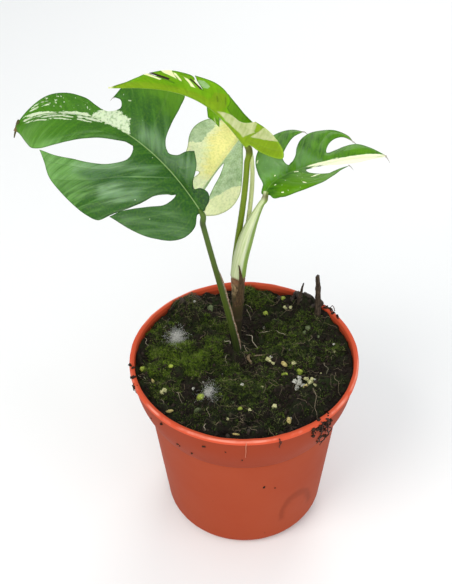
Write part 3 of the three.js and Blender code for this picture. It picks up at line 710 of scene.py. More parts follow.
# Patches of moss: x, y, radius, share of the tufts and freshness
MOSS_PATCHES = np.array([
    [-27, -4, 7, 1.5, 1.0], [-34, 6, 8, 1.3, 0.8], [-46, 7, 6, 0.9, 0.75], [-44, -8, 7, 0.9, 0.8],
    [-18, 3, 6, 0.9, 0.85], [-16, 12, 6, 0.8, 0.6], [-10, 25, 6, 0.8, 0.5], [-21, 27, 7, 0.7, 0.35],
    [9, 6, 8, 1.0, 0.4], [16, 22, 6, 0.8, 0.45], [25, 24, 8, 0.9, 0.3], [20, 8, 7, 0.8, 0.4],
    [30, 11, 8, 0.9, 0.35], [10, 49, 6, 0.8, 0.5], [2, 52, 6, 0.7, 0.55], [36, 27, 8, 0.8, 0.3],
    [-2, -16, 8, 1.1, 0.3], [-12, -20, 7, 1.0, 0.35], [6, -26, 8, 0.9, 0.25], [-9, -6, 7, 0.9, 0.4],
    [45, 8, 8, 0.9, 0.25], [30, -2, 7, 0.7, 0.35], [-40, -20, 8, 0.9, 0.4], [-33, 36, 9, 0.8, 0.2],
    [14, -13, 8, 0.8, 0.25], [-45, 22, 8, 0.8, 0.45], [-8, -38, 10, 0.8, 0.15], [-24, -38, 9, 0.5, 0.15],
    [12, -42, 9, 0.6, 0.1],
])

# The thin moss between them, over the whole soil
THIN_MOSS = np.array([0, 0, 54, 5.0, 0.1])

# The soil's side: heights along the collar, then height and radius of each ring down to the bottom
COLLAR_RINGS = np.array([97.0, 88.0, 78.5])
WALL_RINGS = np.array([[76.5, 49.45], [40, 46.2], [10, 42.6], [5, 40.2], [2.35, 37.2]])
SIDE_GAP = 0.35


def draws(seed, count):
    """A seeded linear congruential row of numbers from 0 to 1, as in the solid model."""
    state = seed
    row = []
    for _ in range(count):
        state = (state * 1664525 + 1013904223) % 2**32
        row.append(state / 2**32)
    return np.array(row)


def crumb_mounds(crumbs=90, reach=54):
    """The solid model's crumbs: x, y, height and radius of each."""
    row = draws(7, 4 * crumbs).reshape(-1, 4)
    place = polar(reach * np.sqrt(row[:, 0]), 2 * np.pi * row[:, 1])
    return np.column_stack([place, 0.7 + 1.5 * row[:, 2], 2.5 + 2.5 * row[:, 3]])


MOUNDS = np.vstack([HEAPS, crumb_mounds()])


def soil_height(x, y, soil):
    """Height of the soil: a rise towards the wall with the cube of the radius, a fine sine roughness, and a
    rounded mound, lift times e to minus (distance / radius) squared, for each heap and crumb."""
    from_centre = np.hypot(x, y)
    height = soil.level + soil.edge_rise * (from_centre / RIM_RADIUS) ** 3
    height = height + 0.5 * np.sin(x * 0.55 + 1) * np.sin(y * 0.61)
    for cx, cy, lift, radius in MOUNDS:
        height = height + lift * np.exp(-((x - cx) ** 2 + (y - cy) ** 2) / radius**2)
    return height


def crumbled(x, y, soil):
    """The soil's height with crumbs: four layers of lumpy noise, each about half as wide as the one before,
    cut off below so that hollows stay flat. Each patch of moss lifts it by a low bell."""
    flat = np.stack([x, y], -1)
    rough = np.zeros(x.shape)
    for size, lift, seed in ((8.5, 1.5, 10), (4.2, 1.1, 11), (2.1, 0.8, 12), (1.0, 0.5, 13)):
        rough += lift * np.maximum(lumps(flat, size, seed), -0.25)
    for patch_x, patch_y, radius, share, _ in MOSS_PATCHES:
        rough += 1.3 * share * bell(np.hypot(x - patch_x, y - patch_y), 0, 0.7 * radius)
    hollow = bell(np.hypot(x - 4, y - 13), 0, 6.5) + 0.6 * bell(np.hypot(x + 20, y - 31), 0, 6)
    return soil_height(x, y, soil) + soil.crumb * rough - 2.4 * hollow


def make_soil(soil, profile, rings=170, sides=460):
    """The soil: a polar grid of heights inside the wall, closed by the wall's rings and a bottom."""
    share = (np.arange(rings) / (rings - 1)) ** 0.75
    edge_z = soil.level + soil.edge_rise + 0.6
    edge = float(profile.collar_radius(edge_z)) - profile.pot.wall - 0.3
    radius = np.maximum(edge * share, 0.02)[:, None]
    angle = np.linspace(0, 2 * np.pi, sides, endpoint=False)
    x, y = radius * np.cos(angle), radius * np.sin(angle)
    z = crumbled(x, y, soil)
    collar_r = profile.collar_radius(COLLAR_RINGS) - profile.pot.wall - SIDE_GAP
    side = np.vstack([np.stack([COLLAR_RINGS, collar_r], -1), WALL_RINGS])
    wall = [np.column_stack([polar(r, angle), np.full(sides, h)]) for h, r in side]
    points = np.concatenate([np.stack([x, y, z], -1).reshape(-1, 3), *wall, [[0, 0, side[-1, 0]]]])
    quads = grid_quads(rings + len(side), sides, wrap=True).reshape(-1, 4)
    last = len(points) - 1
    ends = np.vstack([point_fan(last, last - sides, sides), fan_ends(0, sides)])
    return build_mesh("soil_body", points, quads[:, ::-1], ends)


# The leaf blades

# Half the midrib's width, where the first lobe starts, and the share of a lobe's height below its sinus
RIB_HALF = 0.7
NECK = 2.0
SINUS_ROW = 0.36

# How much closer together the rows of points stand at the midrib and at the margin
RIB_CROWDING = 1.35
MARGIN_CROWDING = 1.15

# How far apart side veins reach the margin, and the distance to a vein that the midrib's own points carry
VEIN_SPACING = 15.0
FAR_FROM_VEINS = 9.0

LEAF_A = dict(
    midrib=[[-19.5, -2, 197.5], [-50, 28, 236], [-95, 57, 226], [-114, 52, 209]],
    face_at_base=[-0.15, -0.6, 0.78], face_at_tip=[-0.3, -0.45, 0.84],
    fold=(8, 8), curl=(-0.5, -0.5), crown=1.2,
    left=[
        dict(root=12, front=[[-4, 6], [-5.5, 12], [-3.5, 18.5]],
             margin=[[3.5, 26], [14, 31.3], [28.2, 34.8]],
             back=[[25.4, 29.2], [22, 24.6], [17, 18], [12.8, 11.5], [13.6, 5]]),
        dict(root=44, front=[[18.6, 9.5], [20.6, 17.4], [23.4, 24], [26.4, 29], [29.2, 34.6]],
             margin=[[31.6, 39.4], [40, 41.6], [52, 41.7], [68, 39.2], [82, 34.5], [92, 27], [99.4, 20.4]],
             back=[[86, 23], [73, 23], [60, 21], [49.5, 16.5], [43, 9.5], [45.6, 3.2]]),
        dict(front=[[55.5, 5.8], [69, 11], [84, 16.6]],
             margin=[[97.6, 20], [107, 18.6], [115, 12], [119, 4.5]]),
    ],
    right=[
        dict(root=28, front=[[1, 3], [2.6, 6]],
             margin=[[6, 7.6], [9.4, 5.8], [10.4, 3.4], [13, 4.6], [18, 10.8], [23.4, 14.4]],
             back=[[25.6, 11.4], [27, 7.4], [30.8, 5.2]]),
        dict(root=64, front=[[35.5, 8.5], [38.6, 16], [40.6, 24.5], [43, 31]],
             margin=[[50, 33.4], [58, 29.5], [65, 21], [67.4, 12.4]],
             back=[[63.6, 12.4], [61.8, 9], [67, 5]]),
        dict(front=[[73, 5.8], [80, 8.2]], margin=[[90, 9.6], [100, 8.5], [110, 4.8]]),
    ],
)

LEAF_B = dict(
    midrib=[[1.2, 20, 219.4], [-13.2, 18.5, 241.7], [-21.3, 11.5, 256.1], [-58, 10, 254]],
    face_at_base=[0, 0.04, 1], face_at_tip=[0, 0.04, 1],
    fold=(52, -8), curl=(0.2, -0.5), crown=0.5,
    left=[
        dict(root=14, front=[[-4.5, 4.2], [-9.5, 9], [-11.3, 13.4]],
             margin=[[-7, 16.4], [1, 16.6], [7.5, 15], [11.6, 12.6]],
             back=[[12.2, 9], [13.6, 6.4], [18, 5]]),
        dict(root=33.6, front=[[22.8, 6], [24.2, 8.6], [25.8, 10.8]],
             margin=[[29.9, 13], [35.7, 14.9], [43, 15.5]],
             back=[[40.6, 11.5], [36.8, 7.4]]),
        dict(root=46, front=[[41.1, 11.1], [43.6, 14.8]], margin=[[47.6, 15.6], [52.4, 15], [57.8, 12.2]],
             back=[[53.5, 9.5], [48, 6.3]]),
        dict(front=[[54.3, 9.2], [58.4, 11.6]], margin=[[62, 7.8], [66.4, 3.6], [70.4, 1.7]]),
    ],
    right=[
        dict(root=15, front=[[0.8, 6], [-1, 12], [0, 16.5]],
             margin=[[4.5, 19.4], [11, 19], [16.5, 17], [21, 13.6]],
             back=[[19, 9.5], [16.4, 6.5], [16.4, 4]], rise=11, slide=5),
        dict(root=26, front=[[18, 6], [17.4, 9]], margin=[[20, 11.4], [24.4, 10.4]],
             back=[[26, 7.4], [27, 4.2]], sag=5.5, slide=2.5),
        dict(root=42, front=[[29.4, 6.5], [31, 11.5], [32.5, 15.5]],
             margin=[[38, 18], [45, 16.5], [50, 12.6]],
             back=[[46.4, 9], [44.4, 5]]),
        dict(front=[[49, 6.8], [54, 9.6]], margin=[[59, 8.2], [65.4, 3.8], [70.4, 1.7]]),
    ],
)

LEAF_C = dict(
    midrib=[[1.3, 39, 220.1], [1.7, 46, 220], [-28.8, 46, 170], [-30.7, 39, 171.6]],
    face_at_base=[0, 0.95, 0.3], face_at_tip=[0, 0.95, 0.05],
    fold=(5, 5), curl=(-0.4, -0.4), crown=1,
    left=[
        dict(root=38, front=[[1.5, 6], [5, 12], [10, 17.6]],
             margin=[[16, 20.2], [23, 19.6], [30, 16.8], [38, 14.6], [44, 11.6]],
             back=[[41, 8.6], [39.6, 4.4]]),
        dict(front=[[45, 5.6], [49.6, 7.4]], margin=[[54, 6.4], [59, 3.2]]),
    ],
    right=[
        dict(root=26, front=[[5, 1.8], [10.5, 3.6], [17.5, 7.4]],
             margin=[[24, 11.6], [32, 16.4], [41, 21], [49, 21.3], [55, 17.4], [58.6, 11]],
             back=[[52, 8.4], [44, 6.6], [36, 5.6], [29, 3.4]]),
        dict(front=[[38, 3], [47, 3.4]], margin=[[53, 3], [58, 1.6]]),
    ],
)

LEAF_D = dict(
    midrib=[[10.1, 15, 195.8], [12.5, 23.7, 207.6], [51.9, 35.7, 202.8], [70.9, 46, 198.2]],
    face_at_base=[0, -0.05, 1], face_at_tip=[0.15, -0.05, 1],
    fold=(12, 12), curl=(-0.3, -0.3), crown=0.9,
    left=[
        dict(root=18, front=[[3.6, 3], [5.9, 8.5], [8.4, 14.5]],
             margin=[[12, 19.6], [18, 23.8], [25, 26], [31, 25.8], [35, 23.4]],
             back=[[29, 21], [22.8, 15.4], [18, 9], [18.6, 4.2]]),
        dict(root=38, front=[[23.4, 7.6], [27, 13.4], [31, 18]],
             margin=[[37, 21.2], [45, 21.2], [52, 19.4], [56.2, 15.6], [56.8, 11.6]],
             back=[[53, 15.4], [48, 15], [42.4, 11], [39.4, 6]]),
        dict(front=[[45, 7.2], [50.5, 9]], margin=[[57, 9.2], [64, 5.4]]),
    ],
    right=[
        dict(root=23, front=[[-1, 4.5], [1.5, 9.8], [7, 14.8]],
             margin=[[15, 18.4], [24, 18.4], [33, 14.2], [40, 9.4], [45.6, 6.4]],
             back=[[39.6, 8], [34, 10.6], [28.4, 9.8], [24, 5.8], [24.6, 2.4]]),
        dict(front=[[34, 2.6], [42, 4.2]], margin=[[51, 5.2], [60, 3.4]]),
    ],
)


def lobe_edges(half, blade_length):
    """The edge of half a blade as one Catmull-Rom curve for each lobe, in flat coordinates: x along the
    midrib, y out from it. Gives each curve's points, where its sinus is and where its margin starts."""
    runs = []
    start, back = [0, RIB_HALF], [[0.2, NECK]]
    for i, lobe in enumerate(half):
        margin = lobe["margin"] + ([[blade_length, 0]] if i == len(half) - 1 else [])
        points = np.array([start, *back, *lobe["front"], *margin], float)
        last = len(points) - 1
        runs.append((points, 0 if i == 0 else len(back) / last, (len(back) + len(lobe["front"])) / last))
        start, back = margin[-1], lobe.get("back", [])
    return runs


def stretch(points, start, end):
    """The part of a Catmull-Rom curve between two parameters, read by its share of that part's length."""
    return Line(catmull(points, np.linspace(start, end, 300)))


def rib_edge(x, blade_length):
    """The midrib's edge in flat coordinates: half its width falls with the root of the share left of it."""
    half = RIB_HALF * np.sqrt(np.maximum(0, 1 - np.asarray(x, float) / blade_length))
    return np.stack([np.asarray(x, float), half], -1)


def lobe_grid(half, runs, index, blade_length, rows, columns):
    """One lobe as a grid of flat points: the sum of the blends between its side edges and between its
    midrib and margin, less the blend of its corners."""
    root_before = 0.0 if index == 0 else half[index - 1]["root"]
    root_after = half[index].get("root", blade_length)
    points, sinus, corner = runs[index]
    margin, front = stretch(points, corner, 1), stretch(points, sinus, corner)

    def on_seam(root, edge):
        outer = edge.at(np.clip((rows - SINUS_ROW) / (1 - SINUS_ROW), 0, 1))
        share = np.clip(rows / SINUS_ROW, 0, 1)[:, None]
        inner = rib_edge([root], blade_length) * (1 - share) + edge.at([0.0]) * share
        return np.where((rows >= SINUS_ROW)[:, None], outer, inner)

    near = front.at(rows) if index == 0 else on_seam(root_before, front)
    if index + 1 < len(half):
        next_points, next_sinus, _ = runs[index + 1]
        far = on_seam(root_after, stretch(next_points, next_sinus, 0))
    else:
        far = np.tile([blade_length, 0.0], (len(rows), 1))
    bottom = rib_edge(root_before + (root_after - root_before) * columns, blade_length)
    u, v = columns[None, :, None], rows[:, None, None]
    top = margin.at(columns)
    across = near[:, None] * (1 - u) + far[:, None] * u
    along = bottom[None] * (1 - v) + top[None] * v
    corners = (bottom[0] * (1 - u) + bottom[-1] * u) * (1 - v) + (top[0] * (1 - u) + top[-1] * u) * v
    return across + along - corners, margin.length


class Sheet:
    """A blade's middle sheet: for each point its flat place, how far its lobe's pose moves it, and how far
    the nearest vein is."""

    def __init__(self, leaf, spacing):
        self.leaf = leaf
        self.midrib = Line(bezier(leaf["midrib"], np.linspace(0, 1, 400)))
        self.length = self.midrib.length
        self.flat, self.posed, self.vein = [], [], []
        self.quads, self.triangles = [], []
        self.count = 0
        rows = self.rows(spacing)
        centre = self.add_centre(spacing)
        for side, half in ((1, leaf["left"]), (-1, leaf["right"])):
            self.add_half(side, half, rows, spacing, centre)
        self.flat = np.concatenate(self.flat)
        self.posed = np.concatenate(self.posed)
        self.vein = np.concatenate(self.vein)

    def rows(self, spacing):
        """Shares from midrib to margin: close together at the midrib, wider apart towards the sinuses and
        close again at the margin."""
        lobes = self.leaf["left"] + self.leaf["right"]
        widest = max(point[1] for lobe in lobes for point in lobe["margin"])
        inner = max(6, round(RIB_CROWDING * SINUS_ROW * widest / spacing))
        outer = max(8, round(MARGIN_CROWDING * (1 - SINUS_ROW) * widest / spacing))
        low = SINUS_ROW * np.linspace(0, 1, inner + 1) ** RIB_CROWDING
        high = 1 - (1 - SINUS_ROW) * np.linspace(1, 0, outer + 1) ** MARGIN_CROWDING
        return np.concatenate([low, high[1:]])

    def add(self, flat, posed, vein):
        """Adds points and returns their numbers."""
        first = self.count
        self.flat.append(flat.reshape(-1, 2))
        self.posed.append(np.broadcast_to(posed, (*flat.shape[:-1], 4)).reshape(-1, 4))
        self.vein.append(np.broadcast_to(vein, flat.shape[:-1]).reshape(-1))
        self.count += len(self.flat[-1])
        return np.arange(first, self.count).reshape(flat.shape[:-1])

    def add_centre(self, spacing):
        """The row of points on the midrib itself, from the base to the blade's point."""
        steps = round(self.length / spacing)
        x = self.length * np.linspace(0, 1, steps + 1)
        return self.add(np.stack([x, 0 * x], -1), [0, 0, 0, 0], FAR_FROM_VEINS)

    def add_half(self, side, half, rows, spacing, centre):
        """The lobes of one half, sharing their seams below the sinuses."""
        runs = lobe_edges(half, self.length)
        rib = []
        before = None
        for index, lobe in enumerate(half):
            _, margin_length = lobe_grid(half, runs, index, self.length, rows[:2], np.array([0.0, 1.0]))
            steps = max(8, round(MARGIN_CROWDING * margin_length / spacing))
            even = np.linspace(0, 1, steps + 1)
            columns = even - 0.06 * np.sin(2 * np.pi * even)
            flat, _ = lobe_grid(half, runs, index, self.length, rows, columns)
            widths = np.linalg.norm(np.diff(flat, axis=1), axis=2).sum(axis=1)[:, None]
            veins = max(1, round(margin_length / VEIN_SPACING))
            nearest = np.abs(columns * veins - np.floor(columns * veins) - 0.5) / veins
            vein = nearest[None] * widths
            beyond = np.clip((rows - SINUS_ROW) / (1 - SINUS_ROW), 0, 1)[:, None] ** 2
            crown = np.sin(np.pi * columns)[None] ** 2 * np.sin(np.pi * np.minimum(rows * 0.7, 1))[:, None]
            pose = [lobe.get(key, 0) * beyond + 0 * crown for key in ("rise", "slide", "sag")]
            posed = np.stack([self.leaf["crown"] * crown, *pose], -1)
            flat = flat * [1, side]
            number = self.add(flat, posed, vein)
            if before is not None:
                joined = rows <= SINUS_ROW + 1e-9
                number[joined, 0] = before[joined, -1]
            if index == len(half) - 1:
                number[:, -1] = centre[-1]
            quads = np.stack([number[:-1, :-1], number[:-1, 1:], number[1:, 1:], number[1:, :-1]], -1)
            quads = quads.reshape(-1, 4)
            self.quads.append(quads if side > 0 else quads[:, ::-1])
            rib.append(number[0, 0 if index == 0 else 1:])
            before = number
        self.zip(centre, np.concatenate(rib), side)

    def zip(self, centre, rib, side):
        """Triangles between the midrib's centre and its edge, taken in order of x."""
        flat = np.concatenate(self.flat)
        lower, upper = (centre, rib) if side > 0 else (rib, centre)
        x = np.concatenate([flat[lower[1:], 0], flat[upper[1:], 0]])
        is_lower = np.r_[np.ones(len(lower) - 1, bool), np.zeros(len(upper) - 1, bool)]
        order = np.lexsort((is_lower, x))
        is_lower = is_lower[order]
        i = np.cumsum(is_lower) - is_lower
        j = np.cumsum(~is_lower) - ~is_lower
        below = np.stack([lower[i], lower[np.minimum(i + 1, len(lower) - 1)], upper[j]], -1)
        above = np.stack([lower[i], upper[np.minimum(j + 1, len(upper) - 1)], upper[j]], -1)
        found = np.where(is_lower[:, None], below, above)
        bent = (found == np.roll(found, 1, axis=1)).any(axis=1)
        self.triangles.append(found[~bent])

    def placed(self, waves):
        """Points in space: the midrib is a Bezier, and each half folds up from it by an angle that changes
        with the distance. Each point may be lifted off the sheet, slid in and sag straight down."""
        leaf = self.leaf
        x, y = self.flat[:, 0], self.flat[:, 1]
        along = np.clip(x / self.length, 0, 1)
        tangent = self.midrib.tangent(along)
        at = self.midrib.at(along) + tangent * np.minimum(x, 0)[:, None]
        base, tip = np.array(leaf["face_at_base"], float), np.array(leaf["face_at_tip"], float)
        normal = base * (1 - along[:, None]) + tip * along[:, None]
        normal = unit(normal - tangent * (normal * tangent).sum(-1, keepdims=True))
        side = np.cross(normal, tangent)
        half = np.where(y >= 0, 0, 1)
        fold, curl = (np.radians(np.array(leaf[key], float))[half] for key in ("fold", "curl"))
        out = (np.sin(fold + curl * np.abs(y)) - np.sin(fold)) / curl
        up = (np.cos(fold) - np.cos(fold + curl * np.abs(y))) / curl
        crown, rise, slide, sag = self.posed.T
        aside = (np.sign(y) * (out - slide))[:, None]
        points = at + side * aside + normal * (up + crown + rise + waves)[:, None]
        points[:, 2] -= sag
        return points


def edge_walls(quads, triangles, count):
    """Every edge that has a face on one side only, as pairs of point numbers in the face's direction."""
    loops = [np.stack([f, np.roll(f, -1, axis=1)], -1).reshape(-1, 2) for f in (quads, triangles)]
    edges = np.concatenate(loops)
    edges = edges[edges[:, 0] != edges[:, 1]]
    key, back = edges[:, 0] * count + edges[:, 1], edges[:, 1] * count + edges[:, 0]
    return edges[~np.isin(key, back)]


def distances(points, outline):
    """Distance of each flat point to the nearest point of the outline."""
    groups = np.array_split(points, max(1, len(points) // 1500))
    gaps = [np.hypot(*(group[:, None] - outline[None]).transpose(2, 0, 1)).min(axis=1) for group in groups]
    return np.concatenate(gaps)


def make_blade(name, leaf, blade, seed, spacing_share, wave):
    """A blade: the middle sheet moved out both ways along its normals by half its thickness, which thins
    towards the margin. The upper side has a groove along the midrib and fine ones along the veins, the
    lower side ribs there; the sheet swells between the veins and its margin waves by smooth noise."""
    sheet = Sheet(leaf, blade.spacing * spacing_share)
    flat = sheet.flat
    quads, triangles = np.concatenate(sheet.quads), np.concatenate(sheet.triangles)
    walls = edge_walls(quads, triangles, sheet.count)
    used = np.unique(np.concatenate([quads.ravel(), triangles.ravel()]))
    rim = distances(flat, flat[np.unique(walls)])
    side_y = np.abs(flat[:, 1])
    fade = smoothstep(rim, 0, 3)
    vein_line = bell(sheet.vein, 0, 0.45) * smoothstep(side_y, 0.6, 3) * fade
    quilt = (1 - bell(sheet.vein, 0, 2.6)) * smoothstep(side_y, 1, 5) * fade
    slow = lumps(flat, 17, seed) * smoothstep(side_y, 3, 12)
    ripple = lumps(flat, 7, seed + 1) * (1 - smoothstep(rim, 0, 6)) * smoothstep(side_y, 3, 9)
    middle = sheet.placed(0.28 * quilt + wave * slow + 0.6 * wave * ripple)
    normal = np.zeros_like(middle)
    for faces in (quads, triangles):
        corner = middle[faces]
        face_normal = np.cross(corner[:, 2] - corner[:, 0], corner[:, -1] - corner[:, 1])
        for k in range(faces.shape[1]):
            np.add.at(normal, faces[:, k], face_normal)
    normal = unit(normal)
    half = (blade.margin + (blade.thickness - blade.margin) * smoothstep(rim, 0, 2.5)) / 2
    along = np.clip(flat[:, 0] / sheet.length, 0, 1)
    ridge = blade.rib * (1 - 0.75 * along) * bell(flat[:, 1], 0, 1.5)
    groove = 0.32 * (1 - 0.7 * along) * bell(flat[:, 1], 0, 0.75)
    top = middle + normal * (half - groove - 0.1 * vein_line)[:, None]
    below = middle - normal * (half + ridge + 0.16 * vein_line)[:, None]
    where = np.column_stack([flat, np.zeros(sheet.count)])
    under = np.repeat([0.0, 1.0], sheet.count)
    relief = np.column_stack([np.tile(sheet.vein, 2), np.tile(rim, 2), under])
    renumber = np.full(2 * sheet.count, -1)
    kept = np.concatenate([used, used + sheet.count])
    renumber[kept] = np.arange(len(kept))
    a, b = walls.T
    wall_quads = np.stack([b, a, a + sheet.count, b + sheet.count], -1)
    all_quads = np.concatenate([quads, quads[:, ::-1] + sheet.count, wall_quads])
    all_triangles = np.concatenate([triangles, triangles[:, ::-1] + sheet.count])
    return build_mesh(
        name, np.concatenate([top, below])[kept], renumber[all_quads], renumber[all_triangles],
        {"blade": np.tile(where, (2, 1))[kept], "relief": relief[kept]},
    )


# The stem and the leaf stalks

STEM_ROUTE = rooted([[-3.9, 16.2, 98.3], [-4.3, 16, 112], [-2.7, 15.2, 130], [-3.1, 15, 146]])
STIPULE_ROUTE = route([[-3.4, 13.4, 128], [-1.8, 10.6, 138], [-0.6, 10, 147], [-2.7, 9.8, 157.5]])
PETIOLE_A_ROUTE = rooted(
    [[-3.3, 7.6, 98.3], [-5.6, 4, 121.5], [-15.6, -1, 171], [-19, -1.8, 190.5]],
    [[-19.5, -2, 193.2], [-17.9, -3.6, 195.5], [-19.26, -2.23, 197.2]],
    [[-19.4, -2.1, 197.4], [-19.8, -1.7, 197.9], [-20.6, -1.1, 198.6]],
)
SHEATH_ROUTE = route(
    [[-3.1, 15, 146.9], [-2.2, 15, 162], [2.9, 14.4, 180], [8.2, 14.1, 191.5]],
    [[8.9, 14.1, 192.8], [9.6, 13.2, 193.4], [10.02, 14.74, 195.44]],
    [[10.1, 15.0, 195.8], [10.2, 15.4, 196.3], [10.4, 16.0, 197.0]],
)
PETIOLE_B_ROUTE = route(
    [[-5.1, 16.4, 147.6], [-4.8, 16.6, 162], [0.4, 19, 186], [1.3, 20, 210.5]],
    [[1.5, 20.1, 213], [3.4, 20.3, 215.6], [1.44, 20.03, 219.03]],
    [[1.3, 20, 219.3], [0.8, 20, 220], [0.2, 19.9, 220.8]],
)
PETIOLE_C_ROUTE = route(
    [[-2.2, 16.9, 147.6], [-1, 16.9, 163], [4.3, 18.6, 186], [3.9, 25.5, 203]],
    [[3.8, 28, 210], [1, 32.7, 220.3], [1.22, 37.7, 220.09]],
    [[1.25, 38.5, 220.1], [1.3, 39.5, 220.1], [1.4, 40.6, 220.1]],
)
TWIG_ROUTE = rooted([[40.4, 33.6, 106.3], [40.6, 34, 112], [40.2, 35.4, 120], [39.6, 37, 129]])
SPLINTER_ROUTE = rooted([[30, 38.5, 106.3], [30.4, 38.6, 110], [31, 39, 115], [32.5, 40, 121]])


def wrapped(angle):
    """An angle between -pi and pi."""
    return (angle + np.pi) % (2 * np.pi) - np.pi


def round_about(angle, share, length_mm):
    """Places on a cylinder, for noise that joins round a stalk: the angle's cosine and sine, the length."""
    return np.stack([1.5 * np.cos(angle), 1.5 * np.sin(angle), share * length_mm], -1)


def top_taper(share):
    """A stalk narrows over its last part, where it runs into its blade's midrib."""
    return 1 - 0.5 * smoothstep(share, 0.975, 1.0)


def make_stalk(name, line, own, section, sides=None, steps=None):
    """A closed stalk whose points carry their share of the length and their angle."""
    sides, steps = sides or own.sides, steps or own.steps
    points, quads, ends, angle, share = stalk(line, steps, sides, section)
    where = np.column_stack([share, wrapped(angle), np.zeros(len(share))])
    return build_mesh(name, points, quads, ends, {"stalk": where})


def make_stem(own):
    """The stem: a rough cylinder with old leaf scars, swollen at its top: the radius is a slow wave of the
    angle and height, plus a bell at each scar and lengthwise creases."""
    def section(angle, share):
        scar = 0.3 * bell(share, 0.52, 0.02) + 0.3 * bell(share, 0.74, 0.016)
        scar = scar + 0.35 * bell(share, 0.97, 0.025)
        creases = 0.13 * lumps(round_about(angle, share * 0.25, STEM_ROUTE.length), 0.5, 21)
        rough = 0.12 * lumps(round_about(angle, share, STEM_ROUTE.length), 1.6, 22)
        girth = 0.62 + 0.34 * smoothstep(share, 0.4, 0.9) + 0.03 * np.sin(3 * angle + 5 * share)
        return 3.5 * girth + scar + creases + rough
    return make_stalk("stem_body", STEM_ROUTE, own, section, sides=48)


def make_stipule(own):
    """The dry stipule: a flattened strip that tapers to a thread, its edges slightly frayed by noise."""
    def section(angle, share):
        radius = 2.3 + (0.25 - 2.3) * share**1.1
        frayed = 1 + 0.12 * lumps(round_about(angle, share, 30), 1.1, 31)
        return radius * (1 - 0.6 * np.abs(np.sin(angle))) * frayed
    return make_stalk("stipule_body", STIPULE_ROUTE, own, section, sides=24)


def make_petiole_a(own):
    """The oldest stalk: round and tapering, broader at its base, with the thin dry wing of its sheath on
    one side: a narrow bell of the angle whose height frays by noise of the length."""
    def section(angle, share):
        angle = wrapped(angle)
        window = smoothstep(share, 0.1, 0.2) * (1 - smoothstep(share, 0.6, 0.68))
        frayed = 1 + 0.3 * lumps(np.stack([share * 60, 0 * share], -1), 1.0, 41)
        wing = 0.9 * bell(angle, 0.06, 0.11) * window * frayed
        channel = -0.16 * bell(angle, 0.5, 0.28) * smoothstep(share, 0.25, 0.5)
        base = 0.3 * bell(share, 0.12, 0.16)
        knee = 0.1 * bell(share, 0.945, 0.03)
        rough = 0.04 * lumps(round_about(angle, share, 110), 1.2, 42)
        return (1.6 * (1 - 0.2 * share) + base + wing + channel + knee + rough) * top_taper(share)
    return make_stalk("petiole_a_body", PETIOLE_A_ROUTE, own, section, sides=64)


def make_thin_petiole(name, line, radius, own, seed):
    """A younger stalk: round, tapering, a little swollen where it bends into its blade, with fine noise."""
    def section(angle, share):
        knee = 0.25 * bell(share, 0.93, 0.03)
        rough = 0.03 * lumps(round_about(angle, share, line.length), 1.1, seed)
        return (radius * (1 - 0.18 * share) + knee + rough) * top_taper(share)
    return make_stalk(name, line, own, section)


def make_sheath(steps=150, arc_steps=30):
    """Petiole D, which widens downwards into an open sheath: the outer and the inner arc of each ring close
    from an open trough to a round stalk along its length, with rounded rims between them."""
    share, centre, x, y = frames_along(SHEATH_ROUTE, steps)
    closing = smoothstep(share, 0.35, 0.97)[:, None]
    outer = 3.9 + (1.35 - 3.9) * closing + 0.25 * bell(share, 0.93, 0.02)[:, None]
    inner = 3.0 + (0.25 - 3.0) * closing
    start, end = np.radians(-174 - 41 * closing), np.radians(42 + 14 * closing)
    across = np.linspace(0, 1, arc_steps + 1)[None]
    angle = start + (end - start) * across
    length_mm = share[:, None] * SHEATH_ROUTE.length + 0 * angle
    streaks = 0.06 * lumps(np.stack([angle * 5, length_mm * 0.05], -1), 1.0, 51)
    low_edge = 0.5 * lumps(np.stack([angle * 4, 0 * angle], -1), 1.0, 52) * bell(share, 0, 0.03)[:, None]
    outside = outer + streaks
    middle = (outer + inner) / 2
    rim_angle = np.array([[0.1], [-0.1]])
    rows_angle = np.hstack([angle, end + rim_angle[0], angle[:, ::-1], start + rim_angle[1]])
    rows_radius = np.hstack([outside, middle, np.repeat(inner, arc_steps + 1, axis=1), middle])
    drop = np.hstack([low_edge, low_edge[:, -1:], low_edge[:, ::-1], low_edge[:, :1]])
    cosine, sine = np.cos(rows_angle)[..., None], np.sin(rows_angle)[..., None]
    points = centre[:, None] + rows_radius[..., None] * (x[:, None] * cosine + y[:, None] * sine)
    points[..., 2] += drop
    ring = rows_angle.shape[1]
    quads = grid_quads(steps + 1, ring, wrap=True).reshape(-1, 4)
    k = np.arange(arc_steps)
    opposite = 2 * arc_steps + 2 - k
    strip = np.stack([k, k + 1, opposite - 1, opposite], -1)
    caps = np.concatenate([strip[:, ::-1], strip + steps * ring])
    rims = np.array([[0, 2 * arc_steps + 2, 2 * arc_steps + 3], [arc_steps, arc_steps + 1, arc_steps + 2]])
    ends = np.concatenate([rims[:, ::-1], rims + steps * ring])
    where = np.stack([share[:, None] + 0 * rows_angle, wrapped(rows_angle), 0 * rows_angle], -1)
    return build_mesh("sheath_body", points.reshape(-1, 3), np.concatenate([quads, caps]), ends,
                      {"stalk": where.reshape(-1, 3)})


